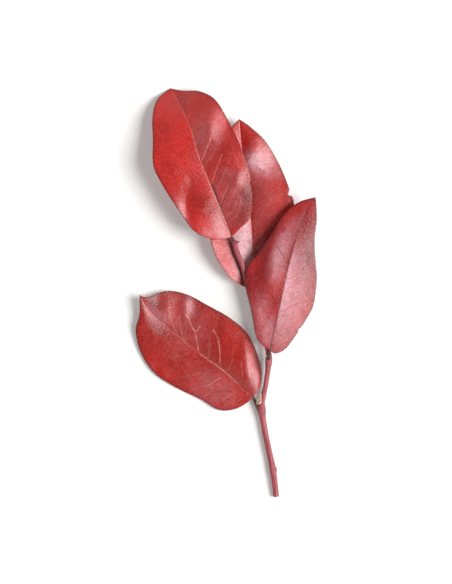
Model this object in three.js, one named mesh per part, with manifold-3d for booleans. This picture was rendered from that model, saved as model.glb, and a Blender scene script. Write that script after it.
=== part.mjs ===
// A dried, dyed salal stem with four leaves, lying on a table with the leaves' upper sides up.
// Millimetres, +Z up. The table is z = 0 and +Y runs from the cut end to the top leaf.

import * as THREE from "three";
import { mergeVertices } from "three/addons/utils/BufferGeometryUtils.js";
import Module from "manifold-3d";

const wasm = await Module();
wasm.setup();

// Blade and vein sizes
const BLADE_THICKNESS = 0.6;
const KEEL_HALF_WIDTH = 1.0;
const KEEL_AT_BASE = 1.0;
const KEEL_AT_TIP = 0.25;
const MIDRIB_GROOVE = 0.25;
const VEIN_RELIEF = 0.3;
const VEIN_GROOVE = 0.12;
const QUILT_RISE = 0.15;
const TOOTH_DEPTH = 0.22;
const NOTCH_REACH = 0.012;

// A row of the blade leaves the midrib further down than it meets the margin, as a side vein does.
const ROW_LAG = 1.35;
const ROW_BEND = 2.2;

// How much further a fold's own fading reaches than its slope
const FOLD_FADE = 2.2;
const LEAF_ROWS = 56;
const HALF_COLUMNS = [0.3, 0.55, 0.8, 1.0];

// Petiole, stem and the gap that keeps a leaf's solid off the stem's
const PETIOLE_RADIUS = 1.05;
const PETIOLE_END_RADIUS = 0.6;
const PETIOLE_SIDES = 8;
const PETIOLE_RINGS = 10;
const STEM_SIDES = 12;
const STEM_RINGS = 72;
const STEM_RIDGE = 0.05;
const STEM_RIDGES = 5;
const NODE_SWELL_REACH = 3.2;
const GAP = 0.3;

// Where the stem's axis runs and how thick it is, from the cut end to the top
const STEM_STATIONS = [
  { at: [27.1, -110.3, 1.5], radius: 1.55 },
  { at: [25.1, -95.2, 1.6], radius: 1.65 },
  { at: [21.4, -75.3, 2.0], radius: 1.65 },
  { at: [19.2, -62.5, 2.6], radius: 1.6 },
  { at: [20.1, -56.0, 2.9], radius: 1.45 },
  { at: [21.7, -47.9, 3.3], radius: 1.35 },
  { at: [23.0, -34.9, 4.2], radius: 1.5 },
  { at: [20.8, -25.0, 4.7], radius: 1.35 },
  { at: [17.3, -14.0, 5.1], radius: 1.3 },
  { at: [12.4, 0.7, 5.9], radius: 1.35 },
  { at: [9.4, 12.3, 6.8], radius: 1.35 },
  { at: [6.0, 21.0, 7.8], radius: 1.5 },
  { at: [4.3, 27.4, 8.7], radius: 1.5 },
];

// The nodes where leaves grow, by their distance along Y, and the old scar below them
const STEM_SWELLS = [
  { y: -95.5, swell: 0.2 },
  { y: -63.5, swell: 0.55 },
  { y: -37.0, swell: 0.4 },
  { y: -2.0, swell: 0.4 },
];

// Buds: foot, the way they point, length and greatest radius
const BUDS = [
  { foot: [26.2, -95.6, 1.9], towards: [0.35, 1, 0.1], length: 2.6, radius: 0.9 },
  { foot: [18.3, -60.2, 3.6], towards: [-0.35, 1, 0.5], length: 4.0, radius: 1.1 },
  { foot: [22.0, -35.4, 5.0], towards: [-0.5, 1, 0.5], length: 3.2, radius: 0.9 },
  { foot: [11.2, 2.0, 6.6], towards: [-0.6, 1, 0.35], length: 2.8, radius: 0.8 },
  { foot: [4.9, 26.4, 9.6], towards: [0.7, 0.7, 0.3], length: 4.0, radius: 1.2 },
];
const BUD_SIDES = 8;

// Each leaf in its own frame: x along the line from blade foot to tip, y to the left of it.
// left and right are margin points as [along, out], midrib as [along, to the left].
// lift holds heights above the blade's foot at six even steps, and crown arches each half.
// A fold tilts a long soft patch of the blade: at is its middle, long and wide are its reaches,
// turn is how far its long side leans from x, slope is how steep it gets, and aim is the way that
// it falls, in degrees from the plant's own X.
const LEAVES = [
  {
    name: "leaf_back",
    foot: [14.0, 0.5, 3.0],
    heading: 94.3,
    length: 92.6,
    left: [[2.5, 3.6], [7, 10.3], [14, 15.1], [23.5, 19.2], [37, 20.8], [51.5, 19.8], [66.5, 16.5],
      [79.5, 10.7], [88.5, 4.4]],
    midrib: [[17, -1.7], [40, -2.2], [66, -1.2], [84.5, -0.1]],
    right: [[0.6, 5.4], [6, 12.8], [17.5, 19.8], [31, 24.4], [44.5, 26], [54.5, 23.8], [67, 19.7],
      [79.5, 13.4], [88.2, 5.5]],
    lift: {
      left: [0, 5.7, 6.6, 5.4, 4.0, 2.8],
      midrib: [0, -0.5, -2.0, -2.35, -0.2, 2.8],
      right: [0, 0.8, 1.6, 1.6, 0.2, 2.8],
    },
    crown: { left: [0, 0, 0, 0.3, 0.4, 0], right: [0, 0.5, 0.8, 2.2, 2.0, 0] },
    veins: { left: [0.15, 0.32, 0.48, 0.64, 0.8], right: [0.22, 0.4, 0.56, 0.72, 0.86] },
    ripple: { count: 3.2, left: 0.2, right: 0.65, height: 0.2 },
    folds: [
      { at: [69.0, -12.0], long: 11, wide: 8, turn: 75, slope: 0.42, aim: -10 },
      { at: [83.6, -5.2], long: 8, wide: 4.5, turn: 0, slope: -0.25, aim: 0 },
      { at: [6.0, 6.5], long: 9, wide: 6, turn: 0, slope: 0.2, aim: 10 },
    ],
    notches: [{ side: "right", at: 0.56, depth: 1.6 }],
    petiole: [[16.4, -9.5, 5.4], [16.9, -6.0, 4.3], [15.6, -2.0, 3.2], [14.0, 0.6, 2.7],
      [13.7, 4.2, 2.5]],
    colour: 0xb8423f,
    roughness: 0.44,
  },
  {
    name: "leaf_right",
    foot: [23.4, -31.1, 7.4],
    heading: 73.3,
    length: 85.4,
    left: [[1.4, 4.7], [5.1, 9.2], [17.7, 15.8], [25.3, 20.3], [31.7, 23.3], [39.8, 24.1],
      [48.9, 20.4], [60.9, 16.7], [72.2, 13.4], [80.4, 7.7]],
    midrib: [[22.3, 1.8], [46, 3.7], [66.1, 3.7], [75.9, 2.9]],
    right: [[-0.9, 3.4], [2.8, 7.9], [10.7, 11], [21, 14.1], [29.9, 15.7], [43.3, 13.5], [53.3, 9.7],
      [63.5, 6.1], [75.1, 3.8]],
    lift: {
      left: [0, 0.3, 1.4, 1.6, 2.4, 3.6],
      midrib: [0, 1.7, 2.6, 2.9, 2.5, 3.6],
      right: [0, -2.9, -4.3, -1.8, 0.8, 3.6],
    },
    crown: { left: [0, 1.0, 0.7, 0.4, 0.3, 0], right: [0, 0.4, 0.5, 0.5, 0.3, 0] },
    veins: { left: [0.16, 0.32, 0.48, 0.64, 0.8], right: [0.2, 0.36, 0.55, 0.7, 0.84] },
    ripple: { count: 2.6, left: 0.1, right: 0.4, height: 0.15 },
    folds: [
      { at: [38.4, 16.5], long: 9, wide: 4, turn: 0, slope: -0.2, aim: 0 },
      { at: [51.0, 9.5], long: 15, wide: 4.2, turn: 8, slope: 0.38, aim: 0 },
      { at: [14.0, 9.0], long: 14, wide: 4, turn: 15, slope: 0.42, aim: 0 },
    ],
    notches: [{ side: "right", at: 0.24, depth: 0.9 }],
    petiole: [[22.9, -37.0, 4.6], [23.2, -34.6, 6.0], [23.5, -31.6, 6.6], [24.4, -28.0, 6.9]],
    colour: 0xb4555b,
    roughness: 0.42,
  },
  {
    name: "leaf_low",
    foot: [14.5, -56.5, 3.15],
    heading: 138,
    length: 82,
    left: [[0.6, 5.8], [3.4, 12.3], [9.4, 17.7], [19.8, 19.8], [34, 24], [47.4, 26], [60.2, 23],
      [70.7, 15.9], [75.2, 7.6]],
    midrib: [[20.9, 0], [36.6, 1.7], [64.4, 3.1], [74.7, 2.1]],
    right: [[0.9, 6.6], [5.5, 13.3], [14.3, 19], [25.5, 23.4], [37.7, 23.3], [50.9, 20.4],
      [63.3, 17.2], [72.5, 11.4], [77.9, 2.2]],
    lift: {
      left: [0, -1.2, -1.9, -1.6, -0.3, 3.2],
      midrib: [0, -1.0, -2.15, -2.3, -0.7, 3.2],
      right: [0, -1.9, -1.2, -0.9, -1.3, 3.2],
    },
    crown: { left: [0, 0.3, 0.2, 0.2, 1.0, 0], right: [0, 3.7, 2.9, 1.6, 0.8, 0] },
    veins: { left: [0.13, 0.3, 0.46, 0.62, 0.78], right: [0.2, 0.39, 0.55, 0.71, 0.85] },
    ripple: { count: 3.0, left: 0.55, right: 0.1, height: 0.2 },
    folds: [
      { at: [70.5, 5.0], long: 9, wide: 4, turn: 0, slope: 0.22, aim: 0 },
      { at: [58.0, -14.6], long: 6.5, wide: 3.2, turn: -45, slope: 0.34, aim: 0 },
      { at: [9.5, -12.0], long: 16, wide: 4.2, turn: -42, slope: 0.45, aim: -8 },
      { at: [61.5, -7.5], long: 11, wide: 5, turn: 0, slope: 0.15, aim: 0 },
    ],
    notches: [],
    petiole: [[18.4, -65.0, 2.6], [16.8, -61.8, 2.4], [15.2, -58.0, 2.5], [13.6, -55.5, 2.5],
      [11.4, -53.6, 2.3]],
    colour: 0xb3393a,
    roughness: 0.46,
  },
  {
    name: "leaf_top",
    foot: [2.7, 29.4, 9.9],
    heading: 112.2,
    length: 87,
    left: [[2.5, 9.4], [9.9, 16.8], [21.7, 20.1], [37.1, 23.1], [50.5, 24], [64.1, 19],
      [75.7, 14.6], [83.7, 8.7]],
    midrib: [[16.3, -0.3], [45.8, -0.4], [62.1, -2], [80.9, -1.1]],
    right: [[2.8, 7], [6.2, 13.6], [16.8, 18.9], [28.8, 22.2], [43.5, 23], [58.4, 22.1],
      [71.5, 19.9], [79.2, 13.8], [82.7, 6.5]],
    lift: {
      left: [0, 4.2, 4.8, 3.4, -1.6, -9.7],
      midrib: [0, 1.4, 2.3, 1.6, -2.4, -9.7],
      right: [0, 2.4, 3.6, 2.4, -2.6, -9.7],
    },
    crown: { left: [0, 0.5, 0.8, 1.0, 0.6, 0], right: [0, 0.6, 1.6, 2.0, 1.2, 0] },
    veins: { left: [0.14, 0.3, 0.46, 0.62, 0.78], right: [0.2, 0.32, 0.46, 0.6, 0.74, 0.87] },
    ripple: { count: 3.4, left: 0.3, right: 0.75, height: 0.2 },
    folds: [
      { at: [58.3, -16.6], long: 10.5, wide: 3.6, turn: -45, slope: 0.55, aim: -30 },
      { at: [25.8, -18.4], long: 4.5, wide: 3, turn: 0, slope: 0.33, aim: 0 },
      { at: [16.0, -9.0], long: 12, wide: 4, turn: 0, slope: 0.12, aim: 0 },
      { at: [11.0, 3.4], long: 15, wide: 3.6, turn: 0, slope: 0.27, aim: 0 },
      { at: [21.9, 19.5], long: 6.5, wide: 2.4, turn: 0, slope: 0.42, aim: 0 },
    ],
    notches: [{ side: "right", at: 0.31, depth: 0.9 }],
    petiole: [[4.4, 26.2, 8.6], [3.7, 28.0, 8.8], [2.6, 29.8, 8.9], [1.3, 33.0, 9.0]],
    colour: 0xb9383a,
    roughness: 0.45,
  },
];

const STEM_COLOUR = 0xb2646a;
const STEM_ROUGHNESS = 0.62;

// A smooth curve through points given as [x, y], in the plane
function planeCurve(points) {
  return new THREE.SplineCurve(points.map(([x, y]) => new THREE.Vector2(x, y)));
}

// A smooth value through evenly spaced values, as a function of 0 to 1
function smoothValue(values) {
  const curve = planeCurve(values.map((value, index) => [index, value]));
  return (t) => curve.getPoint(THREE.MathUtils.clamp(t, 0, 1)).y;
}

// The two sides of a leaf share one set of curves; side is "left" or "right"
function halfShape(leaf, side) {
  const sign = side === "left" ? 1 : -1;
  const outline = leaf[side].map(([along, out]) => [along, sign * out]);
  return {
    margin: planeCurve([[0, 0], ...outline, [leaf.length, 0]]),
    lift: smoothValue(leaf.lift[side]),
    crown: smoothValue(leaf.crown[side]),
    veins: leaf.veins[side],
    phase: leaf.ripple[side],
    notches: leaf.notches.filter((notch) => notch.side === side),
  };
}

// How much a value fades with its distance, from 1 to 0
function bell(distance, reach) {
  return Math.exp(-((distance / reach) ** 2));
}

// What one fold adds to the blade's height at a place in the leaf's own plane
function foldRise(fold, heading, place) {
  const down = THREE.MathUtils.degToRad(fold.aim - heading);
  const turn = THREE.MathUtils.degToRad(fold.turn);
  const offset = place.clone().sub(new THREE.Vector2(...fold.at));
  const fall = offset.x * Math.cos(down) + offset.y * Math.sin(down);
  const lengthwise = offset.x * Math.cos(turn) + offset.y * Math.sin(turn);
  const crosswise = offset.y * Math.cos(turn) - offset.x * Math.sin(turn);
  const fade = bell(lengthwise, fold.long) * bell(crosswise, FOLD_FADE * fold.wide);
  return -fold.slope * fold.wide * Math.tanh(fall / fold.wide) * fade;
}

// How many side veins lie below this height of the blade, with the fraction to the next one
function veinCount(veins, along) {
  const marks = [0, ...veins, 1];
  const above = Math.max(1, marks.findIndex((mark) => mark >= along));
  return above - 1 + (along - marks[above - 1]) / (marks[above] - marks[above - 1]);
}

// The blade's middle surface: along runs 0 to 1 from foot to tip, across -1 to 1 from left to right
function bladeSurface(leaf) {
  const midrib = planeCurve([[0, 0], ...leaf.midrib, [leaf.length, 0]]);
  const midribLift = smoothValue(leaf.lift.midrib);
  const halves = { left: halfShape(leaf, "left"), right: halfShape(leaf, "right") };
  const sideOf = (across) => halves[across < 0 ? "left" : "right"];

  const halfWidth = (along, across) => {
    const middle = midrib.getPointAt(along ** ROW_LAG);
    return sideOf(across).margin.getPointAt(along).distanceTo(middle);
  };

  const heightAt = (along, out, half, plan) => {
    const swell = Math.sin(Math.PI * along);
    const arch = 4 * out * (1 - out);
    const ripple = Math.sin(2 * Math.PI * (leaf.ripple.count * along + half.phase));
    const quilt = Math.abs(Math.sin(Math.PI * veinCount(half.veins, along)));
    const folds = leaf.folds.reduce((sum, fold) => sum + foldRise(fold, leaf.heading, plan), 0);
    return (
      THREE.MathUtils.lerp(midribLift(along ** ROW_LAG), half.lift(along), out) +
      half.crown(along) * arch +
      leaf.ripple.height * ripple * out * out * swell +
      QUILT_RISE * quilt * arch * swell +
      folds
    );
  };

  const point = (along, across) => {
    const half = sideOf(across);
    const out = Math.abs(across);
    const plan = midrib.getPointAt(along ** ROW_LAG).lerp(half.margin.getPointAt(along), out);
    plan.x -= ROW_BEND * 4 * out * (1 - out) * Math.sin(Math.PI * along);
    return new THREE.Vector3(plan.x, plan.y, heightAt(along, out, half, plan));
  };

  return { leaf, halves, halfWidth, point };
}

// The unit vector that stands on the blade's upper side
function bladeNormal(surface, along, across) {
  const step = 0.004;
  const row = THREE.MathUtils.clamp(along, step * 2, 1 - step * 2);
  const column = THREE.MathUtils.clamp(across, step - 1, 1 - step);
  const ahead = surface.point(row + step, column).sub(surface.point(row - step, column));
  const rightwards = surface.point(row, column + step).sub(surface.point(row, column - step));
  return rightwards.cross(ahead).normalize();
}

// The columns of one row: fractions of the half width, with the keel's edge and the cut of the margin
function rowColumns(surface, along, row, side) {
  const sign = side === "left" ? -1 : 1;
  const width = Math.max(surface.halfWidth(along, sign * 0.5), 1);
  const notch = surface.halves[side].notches.reduce(
    (depth, { at, depth: most }) => depth + most * bell(along - at, NOTCH_REACH),
    0,
  );
  const cut = Math.min(0.15, ((row % 2) * TOOTH_DEPTH + notch) / width);
  const keel = Math.min(0.2, KEEL_HALF_WIDTH / width);
  return [keel, ...HALF_COLUMNS].map((column) => sign * Math.min(column, 1 - cut));
}

// One row of the blade: pairs of upper and lower points from the left margin to the right
function bladeRow(surface, row) {
  const along = row / LEAF_ROWS;
  const left = rowColumns(surface, along, row, "left").reverse();
  const right = rowColumns(surface, along, row, "right");
  const isVein = (side) =>
    surface.halves[side].veins.some((vein) => Math.round(vein * LEAF_ROWS) === row);
  return [...left, 0, ...right].map((across) => {
    const middle = surface.point(along, across);
    const offset = bladeNormal(surface, along, across).multiplyScalar(BLADE_THICKNESS / 2);
    const upper = middle.clone().add(offset);
    const lower = middle.clone().sub(offset);
    if (across === 0) {
      upper.z -= MIDRIB_GROOVE;
      lower.z -= THREE.MathUtils.lerp(KEEL_AT_BASE, KEEL_AT_TIP, along);
    } else if (Math.abs(across) < HALF_COLUMNS[2] && isVein(across < 0 ? "left" : "right")) {
      upper.z -= VEIN_GROOVE;
      lower.z -= VEIN_RELIEF;
    }
    return { upper, lower };
  });
}

// The closed blade: rows between two pointed ends, both faces split alike
function bladeGeometry(leaf) {
  const surface = bladeSurface(leaf);
  const positions = [];
  const faces = [];
  const addVertex = (point) => positions.push(point.x, point.y, point.z) / 3 - 1;
  const addPair = ({ upper, lower }) => ({ upper: addVertex(upper), lower: addVertex(lower) });
  const endPair = (along) => {
    const middle = surface.point(along, 0);
    const offset = new THREE.Vector3(0, 0, BLADE_THICKNESS / 2);
    return addPair({ upper: middle.clone().add(offset), lower: middle.clone().sub(offset) });
  };
  const addFace = (a, b, c) => {
    faces.push(a.upper, b.upper, c.upper);
    faces.push(a.lower, c.lower, b.lower);
  };
  const addRim = (a, b) => faces.push(a.lower, b.lower, b.upper, a.lower, b.upper, a.upper);

  const foot = endPair(0);
  const rows = Array.from({ length: LEAF_ROWS - 1 }, (_, index) =>
    bladeRow(surface, index + 1).map(addPair),
  );
  const tip = endPair(1);
  const last = rows[0].length - 1;
  const first = rows[0];
  const top = rows[rows.length - 1];

  for (let column = 0; column < last; column += 1) {
    addFace(foot, first[column + 1], first[column]);
    addFace(tip, top[column], top[column + 1]);
  }
  for (let row = 0; row < rows.length - 1; row += 1) {
    for (let column = 0; column < last; column += 1) {
      const [a, b] = [rows[row][column], rows[row][column + 1]];
      const [c, d] = [rows[row + 1][column], rows[row + 1][column + 1]];
      addFace(a, b, d);
      addFace(a, d, c);
    }
    addRim(rows[row][last], rows[row + 1][last]);
    addRim(rows[row + 1][0], rows[row][0]);
  }
  addRim(foot, first[last]);
  addRim(first[0], foot);
  addRim(top[last], tip);
  addRim(tip, top[0]);

  const geometry = new THREE.BufferGeometry();
  geometry.setAttribute("position", new THREE.Float32BufferAttribute(positions, 3));
  geometry.setIndex(faces);
  return geometry;
}

// A closed round rod along a curve, with a radius that may change along it and around it.
// Its two ends may reach a little past the curve's.
function rodGeometry(curve, rings, sides, radiusAt, endReach = 0) {
  const frames = curve.computeFrenetFrames(rings, false);
  const positions = [];
  const faces = [];
  const centreOf = (ring) => {
    const reach = ring === 0 ? -endReach : ring === rings ? endReach : 0;
    return curve.getPointAt(ring / rings).addScaledVector(frames.tangents[ring], reach);
  };
  for (let ring = 0; ring <= rings; ring += 1) {
    const t = ring / rings;
    const centre = centreOf(ring);
    for (let side = 0; side < sides; side += 1) {
      const angle = (2 * Math.PI * side) / sides;
      const radius = radiusAt(centre, t, angle);
      const point = centre
        .clone()
        .addScaledVector(frames.normals[ring], radius * Math.cos(angle))
        .addScaledVector(frames.binormals[ring], radius * Math.sin(angle));
      positions.push(point.x, point.y, point.z);
    }
  }
  const endCentres = [0, rings].map((ring) => {
    const centre = centreOf(ring);
    return positions.push(centre.x, centre.y, centre.z) / 3 - 1;
  });
  for (let side = 0; side < sides; side += 1) {
    const next = (side + 1) % sides;
    faces.push(endCentres[0], next, side);
    faces.push(endCentres[1], rings * sides + side, rings * sides + next);
    for (let ring = 0; ring < rings; ring += 1) {
      const [a, b] = [ring * sides + side, ring * sides + next];
      faces.push(a, b, b + sides, a, b + sides, a + sides);
    }
  }
  const geometry = new THREE.BufferGeometry();
  geometry.setAttribute("position", new THREE.Float32BufferAttribute(positions, 3));
  geometry.setIndex(faces);
  return geometry;
}

// A solid for joining and cutting
function solidOf(geometry) {
  const bare = geometry.clone();
  bare.deleteAttribute("normal");
  bare.deleteAttribute("uv");
  const merged = mergeVertices(bare, 1e-4);
  const solid = new wasm.Manifold(
    new wasm.Mesh({
      numProp: 3,
      vertProperties: new Float32Array(merged.attributes.position.array),
      triVerts: new Uint32Array(merged.index.array),
    }),
  );
  return solid;
}

function geometryOf(solid) {
  const mesh = solid.getMesh();
  const geometry = new THREE.BufferGeometry();
  geometry.setAttribute("position", new THREE.BufferAttribute(mesh.vertProperties, 3));
  geometry.setIndex(new THREE.BufferAttribute(mesh.triVerts, 1));
  geometry.computeVertexNormals();
  return geometry;
}

// Everything below the table, which trims each low point to a small flat spot
function underTable() {
  const reach = 400;
  return solidOf(new THREE.BoxGeometry(reach, reach, reach).translate(0, 0, -reach / 2));
}

// The stem's rod and buds, grown outwards by a margin where a leaf's solid is cut clear of it
function stemSolid(grown = 0) {
  const axis = new THREE.CatmullRomCurve3(
    STEM_STATIONS.map(({ at }) => new THREE.Vector3(...at)),
    false,
    "catmullrom",
  );
  const radiusBySpan = smoothValue(STEM_STATIONS.map(({ radius }) => radius));
  const radiusAt = (centre, t, angle) => {
    const swell = STEM_SWELLS.reduce(
      (sum, node) => sum + node.swell * bell(centre.y - node.y, NODE_SWELL_REACH),
      0,
    );
    const ridge = 1 + STEM_RIDGE * Math.sin(STEM_RIDGES * angle);
    return radiusBySpan(axis.getUtoTmapping(t)) * ridge + swell + grown;
  };
  const rod = solidOf(rodGeometry(axis, STEM_RINGS, STEM_SIDES, radiusAt, grown));
  return BUDS.reduce((stem, bud) => stem.add(budSolid(bud, grown)), rod);
}

// A pointed bud, turned about its own axis and sunk at its foot into the stem
function budSolid({ foot, towards, length, radius }, grown) {
  const profile = [
    [0, -0.3],
    [0.62, -0.18],
    [1, 0.25],
    [0.86, 0.55],
    [0.45, 0.85],
    [0, 1],
  ].map(([out, up]) => new THREE.Vector2(out * (radius + grown), up * (length + grown)));
  const geometry = new THREE.LatheGeometry(profile, BUD_SIDES);
  const direction = new THREE.Vector3(...towards).normalize();
  const turn = new THREE.Quaternion().setFromUnitVectors(new THREE.Vector3(0, 1, 0), direction);
  geometry.applyQuaternion(turn).translate(...foot);
  return solidOf(geometry);
}

// The petiole from inside the stem to inside the blade's keel
function petioleSolid(leaf) {
  const path = new THREE.CatmullRomCurve3(leaf.petiole.map((at) => new THREE.Vector3(...at)));
  const radiusAt = (centre, t) => THREE.MathUtils.lerp(PETIOLE_RADIUS, PETIOLE_END_RADIUS, t);
  return solidOf(rodGeometry(path, PETIOLE_RINGS, PETIOLE_SIDES, radiusAt));
}

// Blade and petiole as one solid, in the stem's frame, clear of the stem and the table
function leafSolid(leaf, stemRoom, table) {
  const turn = THREE.MathUtils.degToRad(leaf.heading);
  const blade = bladeGeometry(leaf).rotateZ(turn).translate(...leaf.foot);
  const whole = solidOf(blade).add(petioleSolid(leaf)).subtract(stemRoom).subtract(table);
  const pieces = whole.decompose().sort((a, b) => b.volume() - a.volume());
  return pieces[0];
}

function plantMesh(name, solid, color, roughness) {
  const material = new THREE.MeshStandardMaterial({ color, roughness, metalness: 0 });
  const mesh = new THREE.Mesh(geometryOf(solid), material);
  mesh.name = name;
  return mesh;
}

function salalStem() {
  const plant = new THREE.Group();
  const table = underTable();
  const stem = stemSolid().subtract(table);
  const stemRoom = stemSolid(GAP);
  plant.add(plantMesh("stem", stem, STEM_COLOUR, STEM_ROUGHNESS));
  LEAVES.forEach((leaf) => {
    const solid = leafSolid(leaf, stemRoom, table);
    plant.add(plantMesh(leaf.name, solid, leaf.colour, leaf.roughness));
  });
  return plant;
}

export default salalStem();
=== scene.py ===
"""Dresses a dried, dyed salal stem with four leaves, lying on a table and seen from straight above.

Lengths named in millimetres are turned to metres where a mesh is made. A leaf's own frame has x along the
line from blade foot to tip and y to the left of it, and +Z is up from the table.
"""

import logging
import math
from dataclasses import dataclass, replace
from enum import Enum
from typing import Any

import bmesh
import bpy
import numpy as np
from mathutils import Matrix, Vector


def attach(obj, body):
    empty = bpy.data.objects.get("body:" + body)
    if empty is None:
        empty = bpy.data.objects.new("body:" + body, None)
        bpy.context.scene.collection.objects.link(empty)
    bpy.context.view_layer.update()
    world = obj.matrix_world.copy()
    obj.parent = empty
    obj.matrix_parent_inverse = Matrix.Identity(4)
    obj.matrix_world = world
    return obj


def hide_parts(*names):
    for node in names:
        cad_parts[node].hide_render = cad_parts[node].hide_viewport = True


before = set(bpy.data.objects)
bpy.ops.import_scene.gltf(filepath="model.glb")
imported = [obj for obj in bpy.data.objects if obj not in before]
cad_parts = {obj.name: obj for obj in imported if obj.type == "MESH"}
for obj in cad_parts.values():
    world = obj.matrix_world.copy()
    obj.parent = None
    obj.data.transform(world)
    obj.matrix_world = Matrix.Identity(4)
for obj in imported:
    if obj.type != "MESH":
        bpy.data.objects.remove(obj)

LOG = logging.getLogger("salal_stem")
MM = 0.001
CURVE_STEPS = 401
ROOT = "root"

Array = np.ndarray
Point = tuple[float, float]
Place = tuple[float, float, float]


class Slot(Enum):
    """The record's material slots."""

    LEAF = "dyed_leaf"
    BARK = "stem_bark"


# Curves

def catmull_rom(points: Array, t: Array, mirrored_ends: bool = False) -> Array:
    """Evaluates the smooth curve through evenly spaced points.

    Args:
        points: The points, one a row.
        t: Places along the curve, 0 at the first point and 1 at the last.
        mirrored_ends: Whether the curve leaves its ends straight, or else with its end points doubled.

    Returns:
        One point for each place.
    """
    points = np.asarray(points, float)
    spans = len(points) - 1
    first, last = points[0], points[-1]
    if mirrored_ends:
        first, last = 2 * points[0] - points[1], 2 * points[-1] - points[-2]
    padded = np.vstack([first, points, last])
    place = np.clip(np.asarray(t, float), 0, 1) * spans
    span = np.minimum(place.astype(int), spans - 1)
    f = (place - span)[..., None]
    p0, p1, p2, p3 = (padded[span + step] for step in range(4))
    v1, v2 = (p2 - p0) / 2, (p3 - p1) / 2
    return (2 * p1 - 2 * p2 + v1 + v2) * f**3 + (3 * p2 - 3 * p1 - 2 * v1 - v2) * f**2 + v1 * f + p1


def by_length(points: Array, u: Array, mirrored_ends: bool = False) -> tuple[Array, Array]:
    """Evaluates the smooth curve at fractions of its length.

    Args:
        points: The points, one a row.
        u: Fractions of the curve's length.
        mirrored_ends: Whether the curve leaves its ends straight, or else with its end points doubled.

    Returns:
        One point for each fraction, and the place of each along the evenly spaced points.
    """
    steps = np.linspace(0, 1, CURVE_STEPS)
    line = catmull_rom(points, steps, mirrored_ends)
    length = np.concatenate([[0], np.cumsum(np.linalg.norm(np.diff(line, axis=0), axis=1))])
    t = np.interp(u, length / length[-1], steps)
    return catmull_rom(points, t, mirrored_ends), t


def smooth_value(values: tuple[float, ...], t: Array) -> Array:
    """A smooth value through evenly spaced values, at places from 0 to 1."""
    return catmull_rom(np.asarray(values, float)[:, None], t)[..., 0]


def bell(distance: Array, reach: float) -> Array:
    """A soft bump that is 1 at no distance and fades over the reach."""
    return np.exp(-((distance / reach) ** 2))


def most(layers: list[Array], like: Array) -> Array:
    """The greatest value of the layers at each point, or 0 without layers."""
    return np.maximum.reduce([np.zeros_like(like), *layers])


# Node trees

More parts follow.
